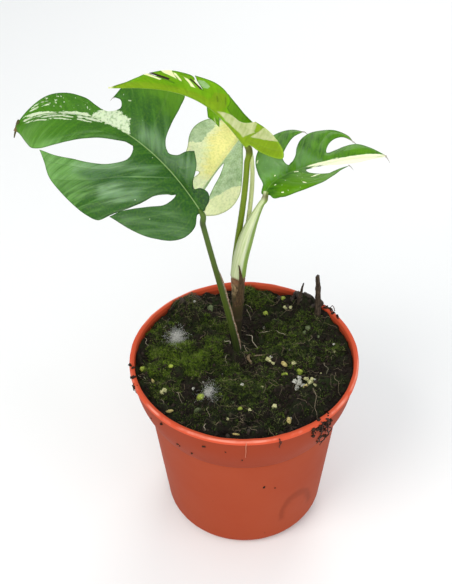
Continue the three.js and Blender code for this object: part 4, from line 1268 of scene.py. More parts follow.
def make_wood(name, line, radius, tip_radius, own, seed):
    """Dead wood: a tapering rod, lengthwise ridged and broken off rough: the radius is a straight taper
    plus stretched noise of the angle, and a knob swells one side as a bell of height and angle."""
    def section(angle, share):
        knob = 0.75 * radius * bell(share, 0.5, 0.05) * bell(wrapped(angle), 0.2, 0.9)
        ridges = 0.3 * lumps(round_about(angle, share * 0.3, line.length), 0.8, seed)
        rough = 0.12 * lumps(round_about(angle, share, line.length), 0.9, seed + 1)
        jagged = lumps(round_about(angle, 0 * share, 1), 0.9, seed + 2) > 0
        broken = 1 - 0.45 * smoothstep(share, 0.97, 1.0) * jagged
        return (radius + (tip_radius - radius) * share + ridges + rough + knob) * broken
    return make_stalk(name, line, own, section, sides=28, steps=90)


# What lies and grows on the soil

# Bits on the soil: x, y and size in mm
PERLITE = np.array([
    [28, -17, 1.9], [27, -20, 1.3], [28, -14, 1.2], [30, -18, 1.3], [26, -17, 1.3], [-21, -15, 0.6],
    [-11, -8, 0.55], [-1, -19, 0.8], [24, 6, 0.6], [-28, 41, 0.7], [11, 26, 0.8], [23, -41, 0.6],
    [-26, -20, 0.8], [14, -1, 0.7], [36, -15, 0.7], [48, 12, 0.55],
])
CREAM_BITS = np.array([
    [32, -14, 1.2], [35, -15, 1.1], [34, -18, 1.4], [36, -20, 0.9], [13, -2, 1.3], [15, -4, 0.9],
    [23, 39, 1.1], [26, 38, 0.9], [15, -32, 1.2], [9, -21, 0.7], [3, -35, 0.8], [48, 7, 0.9],
    [-41, -23, 1.4], [26, -2, 1.2], [-8, -44, 0.6], [40, -8, 0.6], [-49, -2, 0.6],
])
LIME_BITS = np.array([
    [-22, -27, 2.2], [29, -7, 1.9], [21, -11, 1.2], [-2, -34, 1.2], [-53, -7, 1.3], [-38, -8, 1.1],
    [12, 36, 1.3], [-12, -24, 0.8], [22, 45, 1.2],
])
DULL_BITS = np.array([
    [-23, -35, 1.5], [-19, 40, 1.8], [35, 24, 1.6], [33, 21, 1.2], [-6, -29, 0.9], [40, 18, 1.0],
])
HUSKS = np.array([
    [-37, -36, 1.6], [21, -3, 1.5], [-4, -52, 1.4], [22, -42, 1.5], [31, -21, 1.2], [-47, -16, 1.3],
])
BARK_BITS = np.array([
    [27, 43, 1.5], [30, 47, 1.7], [35, 42, 1.6], [24, 40, 1.3], [38, 36, 1.5], [31, 41, 1.9],
    [-27, 46, 1.3], [-34, 40, 1.4], [-8, -52, 1.2], [20, 47, 1.2], [2, -51, 1.0],
])

# Kinds of bits: piece, places, seed; stretch, rings, sides and roughness; material, light and dark colour
BITS = [
    ("perlite_grains", PERLITE, 63, (1.15, 9, 14, 0.3), "perlite_paint",
     (0.6, 0.59, 0.52), (0.1, 0.11, 0.08)),
    ("cream_bits", CREAM_BITS, 67, (1.5, 6, 8, 0.6), "cream_paint", (0.6, 0.58, 0.3), (0.2, 0.21, 0.06)),
    ("lime_bits", LIME_BITS, 64, (1.15, 9, 12, 0.14), "lime_paint", (0.33, 0.4, 0.05), (0.09, 0.14, 0.015)),
    ("dull_bits", DULL_BITS, 68, (1.15, 8, 10, 0.25), "dull_paint", (0.13, 0.16, 0.07), (0.045, 0.06, 0.02)),
    ("bark_bits", BARK_BITS, 69, (1.9, 7, 9, 0.4), "bark_bit_paint",
     (0.05, 0.036, 0.026), (0.012, 0.009, 0.007)),
]


# How far from the middle things may lie on the soil
SOIL_REACH = 55.0


def on_soil(flat, soil, lift=0.0):
    """Flat places with the soil's height under them."""
    return np.column_stack([flat, crumbled(flat[:, 0], flat[:, 1], soil) + lift])


def within_wall(flat, reach=SOIL_REACH):
    """Flat places pulled back inside the pot's wall."""
    radius = np.hypot(*flat.T)[:, None]
    return flat * np.minimum(1, reach / np.maximum(radius, 1e-6))


def needles(start, middle, tip, width):
    """Closed three-sided needles: a triangle at the start, a thinner one in the middle and a point at the
    tip. Each place is (needles, 3), and the corners stand square to the needle. Seven points a needle."""
    count = len(start)
    along = unit(tip - start)
    x = unit(np.cross(along, ASIDE))
    y = np.cross(along, x)
    turn = 2 * np.pi * np.arange(3) / 3
    corner = x[:, None] * np.cos(turn)[:, None] + y[:, None] * np.sin(turn)[:, None]
    foot = start[:, None] + corner * width[:, None, None]
    waist = middle[:, None] + 0.85 * corner * width[:, None, None]
    points = np.concatenate([foot, waist, tip[:, None]], axis=1)
    k = np.arange(3)
    after = (k + 1) % 3
    sides = np.stack([k, after, after + 3, k + 3], -1)
    caps = np.vstack([np.stack([k + 3, after + 3, np.full(3, 6)], -1), [[0, 2, 1]]])
    first = 7 * np.arange(count)[:, None, None]
    return points.reshape(-1, 3), (sides + first).reshape(-1, 4), (caps + first).reshape(-1, 3)


def make_moss(name, soil, moss, seed, per_tuft=10):
    """Moss: at each of many places drawn round the patches stands a tuft of bent needles that lean out from
    the tuft's middle. Each tuft has its own freshness, which follows its patch's, and its own lightness."""
    draw = np.random.default_rng(seed)
    places = np.vstack([MOSS_PATCHES, THIN_MOSS])
    share = places[:, 3] / places[:, 3].sum()
    chosen = places[draw.choice(len(places), moss.shoots, p=share)]
    turn = draw.uniform(0, 2 * np.pi, len(chosen))
    far = chosen[:, 2] * np.sqrt(draw.uniform(0, 1, len(chosen)))
    foot = within_wall(chosen[:, :2] + polar(far, turn))
    bare = bell(np.hypot(foot[:, 0] - 3, foot[:, 1] - 13), 0, 9)
    base = on_soil(foot, soil, -0.4)
    big = moss.shoot * draw.uniform(0.5, 1.2, len(base)) * (0.6 + 0.5 * chosen[:, 4]) * (1 - 0.8 * bare)
    spread = draw.normal(size=(len(base), per_tuft, 2)) * 0.6
    size = (big[:, None] * draw.uniform(0.5, 1.15, spread.shape[:2]))[..., None]
    direction = unit(np.concatenate([spread, np.full((*spread.shape[:2], 1), 0.55)], -1))
    start = base[:, None] + 0.9 * np.concatenate([spread, 0 * spread[..., :1]], -1)
    middle = start + 0.55 * size * direction
    bent = unit(direction + draw.normal(size=direction.shape) * 0.45 - [0, 0, 0.25])
    tip = middle + 0.5 * size * bent
    width = draw.uniform(0.08, 0.2, spread.shape[:2])
    rows = [part.reshape(-1, 3) for part in (start, middle, tip)]
    points, quads, ends = needles(*rows, width.ravel())
    fresh = np.clip(chosen[:, 4] + draw.normal(size=len(base)) * 0.25, 0, 1)
    own = draw.uniform(0, 1, (len(base), 1)) * 0.75 + draw.uniform(0, 0.25, (len(base), per_tuft))
    tint = np.stack([
        np.repeat(fresh, per_tuft * 7),
        np.tile([0.0, 0.0, 0.0, 0.6, 0.6, 0.6, 1.0], len(base) * per_tuft),
        np.repeat(own.ravel(), 7),
    ], -1)
    return build_mesh(name, points, quads, ends, {"tint": tint})


def make_pebbles(name, flat, sizes, soil, seed, lift, stretch, rings, sides, roughness):
    """Lumps that lie on the soil, each sunk in by part of its size."""
    draw = np.random.default_rng(seed)
    centres = on_soil(within_wall(flat), soil) + np.array([0, 0, 1.0]) * (lift * sizes)[:, None]
    points, quads, ends = pebbles(centres, sizes, draw, stretch, rings, sides, roughness)
    tint = np.repeat(draw.uniform(0, 1, (len(flat), 3)), rings * sides, axis=0)
    return build_mesh(name, points, quads, ends, {"tint": tint})


def scattered(count, seed, reach=SOIL_REACH):
    """Flat places drawn evenly over the soil."""
    draw = np.random.default_rng(seed)
    radius, turn = reach * np.sqrt(draw.uniform(0, 1, count)), draw.uniform(0, 2 * np.pi, count)
    return polar(radius, turn)


def make_husks(name, soil, seed, rows=7, sides=16):
    """Seed husks: thin open shells, each a cap of a sphere drawn out along one side and laid tilted."""
    draw = np.random.default_rng(seed)
    around = np.linspace(0, 2 * np.pi, sides, endpoint=False)
    dip, v = np.meshgrid(0.15 + 1.25 * np.linspace(0, 1, rows), around, indexing="ij")
    across = np.sin(dip)
    shell = np.stack([1.35 * across * np.cos(v), 0.8 * across * np.sin(v), 0.55 * np.cos(dip)], -1)
    both = np.concatenate([shell, 0.82 * shell[::-1] - [0, 0, 0.06]])
    parts = []
    for x, y, size in HUSKS:
        turn, tilt = draw.uniform(0, 2 * np.pi), draw.uniform(1.0, 2.4)
        cosine, sine = math.cos(turn), math.sin(turn)
        spun = both @ np.array([[cosine, sine, 0], [-sine, cosine, 0], [0, 0, 1]])
        cosine, sine = math.cos(tilt), math.sin(tilt)
        tilted = spun @ np.array([[1, 0, 0], [0, cosine, sine], [0, -sine, cosine]])
        z = float(crumbled(np.array(x), np.array(y), soil))
        bent = tilted * (1 + 0.22 * lumps(tilted * [1, 1, 2], 0.7, seed + len(parts))[..., None])
        parts.append(size * bent + [x, y, z + 0.25 * size])
    return build_mesh(name, np.stack(parts).reshape(-1, 3), *tube_faces(len(both), sides, len(HUSKS)))


def wander(starts, headings, lengths, rings, draw, wobble):
    """Wandering lines: each takes even steps along a heading that turns by a random walk, a little up or
    down."""
    count = len(starts)
    turn = headings[:, None] + np.cumsum(draw.normal(size=(count, rings - 1)) * wobble, axis=1)
    step = (lengths / (rings - 1))[:, None]
    rise = draw.normal(size=(count, rings - 1)) * 0.25 * step
    moves = np.stack([np.cos(turn) * step, np.sin(turn) * step, rise], -1)
    return starts[:, None] + np.concatenate([np.zeros((count, 1, 3)), np.cumsum(moves, axis=1)], axis=1)


def make_fibres(name, soil, seed, count=560, rings=8):
    """Fibres of peat: thin strands that wander over the soil's surface, most of them short and dark, and a
    dense brown tangle on the mound at the back left."""
    draw = np.random.default_rng(seed)
    flat = scattered(count, seed, 53.0)
    tangled = np.arange(count) < 90
    flat[tangled] = [-30, 45] + draw.normal(size=(90, 2)) * [5.5, 3.5]
    start = np.column_stack([flat, np.zeros(count)])
    lines = wander(start, draw.uniform(0, 2 * np.pi, count), draw.uniform(2, 10, count), rings, draw, 0.4)
    held = within_wall(lines[..., :2].reshape(-1, 2), 55.5)
    height = crumbled(held[:, 0], held[:, 1], soil).reshape(count, rings)
    lifted = height + draw.uniform(0.3, 1.4, (count, 1)) + 0.6 * np.abs(lines[..., 2])
    lines = np.concatenate([held.reshape(count, rings, 2), lifted[..., None]], -1)
    radii = draw.uniform(0.035, 0.1, (count, 1)) * np.ones(rings)
    points, quads, ends = strands(lines, radii, 4)
    tone = np.where(tangled, 0.45, draw.uniform(0, 1, count) ** 1.8)
    return build_mesh(name, points, quads, ends, {"tint": grey(np.repeat(tone, rings * 4))})


# Threads of root on the soil: start and end, how high each arches, its radius and how brown it is
ROOTS = [
    ([8, 24], [17, 23], 1.6, 0.24, 0.0), ([15, 31], [18, 25], 1.2, 0.16, 0.1),
    ([17, 23], [24, 15], 1.5, 0.2, 0.3), ([1, 22], [8, 10], 3.2, 0.3, 0.1),
    ([-11, 13], [-7, 9], 1.6, 0.24, 0.1), ([-1, 12], [2, 8], 2.0, 0.24, 0.3),
    ([-9, 6], [-9, -1], 1.6, 0.2, 0.2), ([0, 45], [5, 41], 2.0, 0.16, 0.4),
    ([1, 42], [4, 33], 2.4, 0.18, 0.5), ([4, 4], [12, 1], 1.2, 0.5, 0.8), ([3, 5], [4, -2], 1.8, 1.35, 0.9),
    ([-55, -10], [-50, -15], 1.2, 0.18, 0.2), ([-36, -23], [-31, -29], 1.3, 0.16, 0.3),
    ([-43, -27], [-40, -32], 1.2, 0.15, 0.2), ([-18, -34], [-17, -43], 1.4, 0.15, 0.5),
    ([-19, -46], [-19, -51], 1.4, 0.18, 0.0), ([35, -21], [36, -43], 1.8, 0.2, 0.7),
    ([42, 0], [43, -10], 1.4, 0.15, 0.4), ([-54, 18], [-51, 10], 1.6, 0.15, 0.1),
]


def make_roots(soil, seed, rings=24):
    """Threads that arch over the soil: the height over the soil is a half sine of the share of the way, and
    the way swerves by smooth noise. The thick one by the stem is the stub of an old root."""
    t = np.linspace(0, 1, rings)
    lines, radii = [], []
    for k, (start, end, arch, thick, _) in enumerate(ROOTS):
        start, end = np.array(start, float), np.array(end, float)
        flat = start + (end - start) * t[:, None]
        aside = np.array([start[1] - end[1], end[0] - start[0]]) / np.linalg.norm(end - start)
        swerve = 1.5 * lumps(np.stack([t * 3, 0 * t + k * 7], -1), 1.0, seed) * np.sin(np.pi * t)
        flat = flat + aside * swerve[:, None]
        ground = crumbled(flat[:, 0], flat[:, 1], soil)
        over = np.maximum(ground[0] + (ground[-1] - ground[0]) * t, ground)
        lines.append(np.column_stack([flat, over + arch * np.sin(np.pi * t) - 0.3]))
        uneven = 1 + 0.18 * lumps(np.stack([t * 9, 0 * t + k], -1), 1.0, seed + 1)
        radii.append(thick * (0.75 - 0.35 * t) * uneven)
    points, quads, ends = strands(np.array(lines), np.array(radii), 8)
    tone = np.repeat([brown for *_, brown in ROOTS], rings * 8)
    return build_mesh("aerial_roots", points, quads, ends, {"tint": grey(tone)})


# White mould: x, y, spread of the core, spread of the veil and number of threads
MOULD = [(-37, 18, 1.7, 3.2, 900), (-18, -24, 1.1, 2.6, 480)]


def make_mould(soil, seed, rings=7):
    """White mould: a dense core of short fine threads, and long ones that float off it in all directions
    and thin out to a veil."""
    draw = np.random.default_rng(seed)
    parts = []
    for x, y, core, veil, count in MOULD:
        loose = np.arange(count) % 3 == 1
        away = np.where(loose, veil, core)[:, None]
        flat = np.array([x, y]) + draw.normal(size=(count, 2)) * [0.8, 1.3] * away
        start = on_soil(within_wall(flat), soil, 0.6)
        long = np.where(loose, draw.uniform(2, 4.5, count), draw.uniform(1, 3, count))
        line = wander(start, draw.uniform(0, 2 * np.pi, count), long, rings, draw, 0.45)
        arch = np.sin(np.linspace(0, 0.7 * np.pi, rings)) * draw.uniform(0.3, 2.2, (count, 1))
        line[..., 2] = start[:, None, 2] + arch
        parts.append(line)
    lines = np.concatenate(parts)
    points, quads, ends = strands(lines, draw.uniform(0.014, 0.03, (len(lines), 1)) * np.ones(rings), 3)
    return build_mesh("mould_tufts", points, quads, ends)


# Debris on the rim: angle round the pot, spread, number of crumbs and how far they have run down
RIM_HEAPS = np.array([
    [-50, 3.2, 46, 6.0], [-46, 2.0, 16, 13.0], [38, 4.0, 34, 2.0], [-171, 1.2, 4, 0.3], [-163, 0.8, 4, 0.3],
    [-158, 0.8, 6, 3.0],
])

# Crumbs stuck to the collar and the wall: angle, height and size
STUCK = np.array([
    [-134, 99, 0.7], [-126, 88, 0.6], [-125, 87, 0.4], [-110, 97, 0.6], [-109, 97.4, 0.4], [-118, 85, 0.6],
    [-91, 89, 0.4], [-78, 57, 0.6], [-71, 54, 0.45], [-135, 98, 0.35], [-144, 94, 0.35], [-99, 96, 0.3],
])

# Roots over the rim: angle and height of both ends, radius, how far each curls off the wall, how brown
RIM_ROOTS = [
    (-89, 105.5, -89.4, 92, 0.2, 0.4, 0.0), (-74, 106.3, -72.6, 98.5, 0.28, 1.2, 1.0),
    (-52, 106.5, -50, 92, 0.3, 2.6, 1.0), (-49, 106.5, -45, 90, 0.35, 3.0, 1.0),
    (-47, 105, -50, 84, 0.28, 2.2, 1.0), (-45, 97, -42, 86, 0.3, 2.4, 1.0),
    (-53, 100, -47, 96, 0.25, 2.6, 1.0), (-50, 90, -44, 84, 0.3, 2.0, 1.0),
    (-44, 92, -47, 82, 0.25, 2.6, 1.0), (36, 106.2, 39, 103, 0.25, 2.4, 0.9),
    (40, 106, 37, 101, 0.22, 2.0, 0.9), (34, 106.6, 38, 105, 0.25, 2.2, 0.9),
    (-157, 106, -156, 100, 0.2, 1.0, 1.0),
]


def off_wall(profile, turn, z, away):
    """Places outside the pot at an angle in degrees and a height, that far off the wall or the lip."""
    collar = profile.collar_radius(np.clip(z, profile.ledge, profile.lip))
    wall = np.where(z > profile.lip, RIM_RADIUS, collar)
    below = profile.body_top - (profile.body_top - profile.pot.base_radius) * (1 - z / profile.ledge)
    radius = np.where(z < profile.ledge, below, wall) + away
    return np.column_stack([polar(radius, np.radians(turn)), z])


def make_rim_debris(profile, seed):
    """Peat crumbs that were spilt over the rim: heaped on the lip and stuck down the collar's outside."""
    draw = np.random.default_rng(seed)
    spot = np.repeat(RIM_HEAPS, RIM_HEAPS[:, 2].astype(int), axis=0)
    count = len(spot)
    turn = spot[:, 0] + draw.normal(size=count) * spot[:, 1]
    z = POT_HEIGHT + 0.3 - np.abs(draw.normal(size=count)) * spot[:, 3]
    on_lip = z > POT_HEIGHT - 0.9
    away = np.where(on_lip, -draw.uniform(0.2, 2.0, count), draw.uniform(0.0, 0.5, count))
    stuck = off_wall(profile, STUCK[:, 0], STUCK[:, 1], 0.05)
    centres = np.vstack([off_wall(profile, turn, z, away), stuck])
    sizes = np.concatenate([draw.uniform(0.3, 0.85, count), STUCK[:, 2]])
    rings, sides = 5, 6
    points, quads, ends = pebbles(centres, sizes, draw, 1.5, rings, sides, 0.45)
    tint = np.repeat(draw.uniform(0, 1, (len(centres), 3)), rings * sides, axis=0)
    return build_mesh("rim_debris", points, quads, ends, {"tint": tint})


def make_rim_roots(profile, seed, rings=16):
    """Thin roots that hang over the rim: along each the angle, the height and the distance from the wall
    change evenly, with smooth noise on top that curls them."""
    t = np.linspace(0, 1, rings)
    lines, radii = [], []
    for k, (turn, z, end_turn, end_z, thick, curl, _) in enumerate(RIM_ROOTS):
        wave = [lumps(np.stack([t * 3.5, 0 * t + 9 * k + part], -1), 1.0, seed) for part in range(3)]
        away = thick + curl * (0.5 + 0.5 * wave[0]) * np.sin(np.pi * np.minimum(t * 1.4, 1) / 1.6)
        curled_turn = turn + (end_turn - turn) * t + 1.1 * curl * wave[1] * np.sqrt(t)
        curled_z = z + (end_z - z) * t + 0.9 * curl * wave[2] * np.sqrt(t)
        lines.append(off_wall(profile, curled_turn, curled_z, away))
        radii.append(thick * (1.1 - 0.5 * t))
    points, quads, ends = strands(np.array(lines), np.array(radii), 6)
    tone = np.repeat([brown for *_, brown in RIM_ROOTS], rings * 6)
    return build_mesh("rim_roots", points, quads, ends, {"tint": grey(tone)})


# Dry points of the blades: leaf, flat place, length, radius, how far each curls aside and how pale it is
DRY_TIPS = [
    (LEAF_A, 117.8, -2.2, 4.0, 1.15, -0.2, 0.0), (LEAF_D, 70.6, 0.0, 2.2, 0.4, 0.5, 0.9),
    (LEAF_D, 56.6, 11.8, 2.6, 0.35, 0.9, 1.0), (LEAF_D, 34.8, 23.4, 2.6, 0.35, 0.9, 1.0),
    (LEAF_D, 45.4, -6.4, 2.2, 0.3, -0.6, 0.9), (LEAF_A, 67.2, -12.6, 2.0, 0.3, -0.4, 0.8),
]


def make_dry_tips(rings=14):
    """The dry points of the blades: thin strands that start inside the blade's point, go on outwards, droop
    with the square of the way and curl aside, tapering to a thread."""
    t = np.linspace(0, 1, rings)[:, None]
    lines, radii = [], []
    for leaf, x, y, long, thick, curl, _ in DRY_TIPS:
        sheet = Sheet(leaf, 2.0)
        points = sheet.placed(0.0)
        point = points[np.argmin(np.hypot(sheet.flat[:, 0] - x, sheet.flat[:, 1] - y))]
        inner = points[np.argmin(np.hypot(sheet.flat[:, 0] - x + 5, sheet.flat[:, 1] - 0.8 * y))]
        out = unit(point - inner)
        aside = unit(np.cross(out, [0.0, 0.0, 1.0]))
        way = out * (t * 1.2 - 0.2) + aside * (curl * t**2) - np.array([0, 0, 1.5]) * t**1.6
        lines.append(point + long * way)
        radii.append(thick * (1 - 0.75 * t[:, 0]))
    points, quads, ends = strands(np.array(lines), np.array(radii), 8)
    tone = np.repeat([pale for *_, pale in DRY_TIPS], rings * 8)
    return build_mesh("dry_tips", points, quads, ends, {"tint": grey(tone)})


# Materials of this plant

class BladePaint:
    """A blade's material, from flat coordinates along and out from the midrib in mm."""

    def __init__(self, name, blade):
        self.paint = Paint(name)
        self.blade = blade
        self.x, self.y, _ = self.paint.split(self.paint.attribute("blade"))
        self.vein, self.rim, self.under = self.paint.split(self.paint.attribute("relief"))
        self.flat = self.paint.joined(self.x, self.y, self.under)
        self.out = self.y.abs()

    def noise(self, size, detail=2.0):
        """Noise over the blade, with lumps of that size in mm."""
        return self.paint.noise(size, self.flat, detail)

    def streaks(self, long, wide, lean):
        """Noise drawn out along the veins, which lean forward from the midrib by that many mm for each mm
        out."""
        along = self.x - self.out * lean
        return self.paint.noise(1.0, self.paint.joined(along / wide, self.y / long, self.under), 3.0)

    def grain(self, long, wide):
        """Noise drawn out along the midrib."""
        return self.paint.noise(1.0, self.paint.joined(self.x / long, self.y / wide, self.under), 3.0)

    def dots(self, apart, size):
        """Small round dots that far apart."""
        return self.paint.cells(apart, self.flat).step(size + 0.06, size - 0.04)

    def area(self, corners, ragged=0.0, soft=0.3):
        """A convex area between flat corners, its distance inside roughened by noise in mm."""
        corners = np.array(corners, float)
        after = np.roll(corners, -1, axis=0)
        turn = np.sign(np.sum(corners[:, 0] * after[:, 1] - after[:, 0] * corners[:, 1]))
        inside = None
        for corner, edge in zip(corners, after - corners):
            normal = turn * np.array([-edge[1], edge[0]]) / np.linalg.norm(edge)
            inputs = {0: self.flat, 1: (*normal, 0.0)}
            across = self.paint.node("ShaderNodeVectorMath", {"operation": "DOT_PRODUCT"}, inputs, "Value")
            distance = across - float(normal @ corner)
            inside = distance if inside is None else inside.low(distance)
        return (inside + ragged).step(-soft, soft)

    def strokes(self, places, ragged):
        """Brushed lines between flat places, each with its own half width in mm, tapering at both ends."""
        best = None
        for (ax, ay), (bx, by), width in places:
            long = math.hypot(bx - ax, by - ay)
            ux, uy = (bx - ax) / long, (by - ay) / long
            along = (self.x - ax) * ux + (self.y - ay) * uy
            across = ((self.y - ay) * ux - (self.x - ax) * uy).abs()
            taper = (along.near(long / 2, long / 2) * 1.7).clamped() * (2 * width) - width
            inside = taper - across
            best = inside if best is None else best.high(inside)
        return (best + ragged).step(-0.16, 0.16)

    def finish(self, green, cream, cream_colour, roughness, veins, rib, glow=0.12, tip=0.0,
               tip_and_shadow_colour=(0.16, 0.09, 0.035)):
        """Joins the green and the cream parts, then the pale midrib, veins and dark margin, and the tip
        mark:
        dry tips, and on the fresh blade the painted shadow inside its slits.
        """
        paint = self.paint
        mottled = paint.tinted(green, (0.74, 0.8, 0.7), (self.noise(9) * 1.6 + 0.3).clamped())
        fine = paint.mix((self.noise(1.1) * 0.8 + 0.05).clamped(), mottled, shade(self.blade.fresh, 0.8))
        vein = (self.vein.step(0.7, 0.1) * self.out.step(1.5, 5.0)) * veins
        line = self.out.step(0.32, 0.12) * self.x.step(120, 60) * rib
        veined = paint.mix(vein.high(line), fine, (0.34, 0.48, 0.18))
        veined = paint.tinted(veined, (0.35, 0.4, 0.3), self.rim.step(0.8, 0.1) * 0.7)
        marked = paint.coats(veined, (cream, cream_colour), (tip, tip_and_shadow_colour))
        rough = self.noise(0.5) * 0.35 + self.noise(2.2) * 0.5 + 0.5 - self.vein.step(0.9, 0.0) * 0.3
        gloss = (self.under * 0.15 + self.noise(6) * 0.12 + roughness).clamped()
        return paint.finish(
            marked, gloss, rough.clamped(), bump_mm=0.22, bump_strength=0.45, shine=0.14,
            glow=glow, glow_radius=(0.6, 1.0, 0.25), glow_mm=1.2,
        )


def paint_leaf_a(blade):
    """Dark cool green, with a ragged mint-cream patch along the midrib, cream streaks towards the point,
    white flecks on the far side and a dry brown tip. Painted sheen lightens the lobes in bands, and a
    painted shaded band darkens the big near lobe."""
    p = BladePaint("dark_blade_paint", blade)
    paint, x, y = p.paint, p.x, p.y
    brushed = p.streaks(16.0, 3.2, 0.9)
    fine_brush = p.streaks(7.0, 0.9, 0.9)
    near_lobe = y.step(10, 24) * x.step(34, 88)
    # Painted sheen: the near lobe grows lighter towards its left end and margin, brushed along the veins
    light = (near_lobe * 0.9 + brushed * 1.9 * y.step(6, 14) - 0.05).clamped()
    near_tip = y.step(3, 8) * x.step(84, 112)
    # Painted sheen: a cool pale haze by the base, on the far half and in the middle of the big near lobe
    painted_sheen_zone = x.step(40, 8) * p.out.step(4, 14) * 0.35 + y.step(-2, -10) * x.step(46, 30) * 0.5
    painted_sheen_zone = painted_sheen_zone + x.near(50, 22) * y.near(19, 16) * 0.75
    painted_sheen = (painted_sheen_zone + (brushed + fine_brush * 0.5) * painted_sheen_zone * 5.0).clamped()
    # Painted shade: a dark band across the big near lobe; painted sheen: lit bands beside it and on the far
    # half
    shaded = p.area([(60, 27), (48, 19), (36, 14.5), (32, 16.5), (45, 26.5)], brushed * 14.0, 2.5)
    upper = [(44.6, 27.5), (36, 21.5), (27, 15.5), (22.6, 19.5), (29.5, 27), (41, 31)]
    band = [(68, 25), (44, 12.5), (28, 4), (28, 7), (44, 16), (64, 28)]
    far = [(46, -2), (18, -4), (18, -11), (46, -8)]
    lit = p.area(upper, brushed * 16.0, 3.5).high(p.area(band, brushed * 12.0, 3.5) * 0.8)
    lit = lit.high(p.area(far, brushed * 12.0, 4.0) * 0.7)
    far_yellow = p.area([(55, -21), (41, -19.5), (38, -34), (56, -34)], p.noise(8) * 14.0, 6.0)
    run = (x - 21.0).high(0.0)
    vein_y = run * 1.15 - run * run * 0.0115 + 1.5
    lateral = (y - vein_y).abs().step(0.6, 0.1) * x.near(32, 14)
    green = paint.coats(
        blade.dark,
        ((x.step(20, 118) + brushed * 1.2).clamped(), blade.mid),
        (light * 0.75, (0.22, 0.43, 0.14)),
        ((near_tip * 0.8 + brushed).clamped() * 0.7, (0.14, 0.32, 0.05)),
        (painted_sheen * 0.7, (0.19, 0.31, 0.16)),
        (shaded * 0.75, (0.02, 0.085, 0.02)),
        (lit * 0.55, (0.25, 0.4, 0.23)),
        (far_yellow * 0.6, (0.13, 0.31, 0.012)),
        (y.step(-1.0, -3.0) * x.step(16, 10) * 0.85, (0.01, 0.034, 0.012)),
        (x.step(40, 22) * 0.4, (0.022, 0.075, 0.016)),
        ((fine_brush * 2.0).clamped() * 0.45, (0.012, 0.05, 0.008)),
        (lateral * 0.5, (0.27, 0.43, 0.2)),
    )
    corners = [(72.6, -2.0), (67.7, -5.8), (61, -7.6), (53.8, -5.8), (51, -0.3), (64, 0.5), (73, 0.3)]
    patch = p.area(corners, p.noise(2.4, 3.0) * 3.4 + p.noise(0.7) * 1.6)
    lines = [
        ((67, -0.6), (99, 1.0), 0.95), ((88, 1.1), (119, -2.4), 0.75), ((62, 0.5), (86, 2.3), 0.75),
        ((75, 2.7), (109, 2.6), 0.6), ((98, 2.0), (119, -1.0), 0.55), ((80, 4.6), (101, 4.3), 0.45),
        ((92, 6.3), (118, 0.8), 0.5), ((84, 1.7), (113, 0.4), 0.4), ((69, 2.6), (83, 4.2), 0.4),
        ((111, -2.8), (102, -4.0), 0.4), ((108, -4.8), (99, -5.4), 0.35), ((104, -3.2), (96, -4.2), 0.3),
        ((110, -4.0), (104, -4.9), 0.35),
    ]
    streaks = p.strokes(lines, p.grain(5.0, 0.7) * 2.0 + p.grain(1.6, 0.5) * 1.4 - 0.12)
    corners = [(109, -3.0), (104, -7.4), (90, -9), (73, -8.5), (68, -5.5), (70, -2.0)]
    fleck_zone = p.area(corners, p.noise(4) * 4.0, 1.5)
    flecks = p.dots(1.25, 0.2).high(p.dots(2.2, 0.2)) * fleck_zone * p.noise(3.0).step(0.0, 0.06)
    short = [
        ((58.4, -14.4), (60.6, -13.5), 0.24), ((63.2, -15.4), (63.6, -15.2), 0.28),
        ((34, 1.4), (34.6, 1.8), 0.16), ((24, 20.6), (24.8, 20.9), 0.16), ((11, 21), (11.8, 21.3), 0.16),
    ]
    marks = p.strokes(short, p.noise(0.8) * 0.3) * 0.75
    speckle = (p.noise(1.3, 3.0) * 6.0 + p.noise(4) * 2.0 + 0.05).clamped() * 0.8
    pale = paint.mix(speckle * patch, (0.55, 0.64, 0.43), (0.22, 0.33, 0.16))
    cream = patch.high(streaks).high(flecks).high(marks)
    return p.finish(green, cream, pale, 0.36, veins=0.04, rib=0.5, tip=x.step(118.6, 120.8))


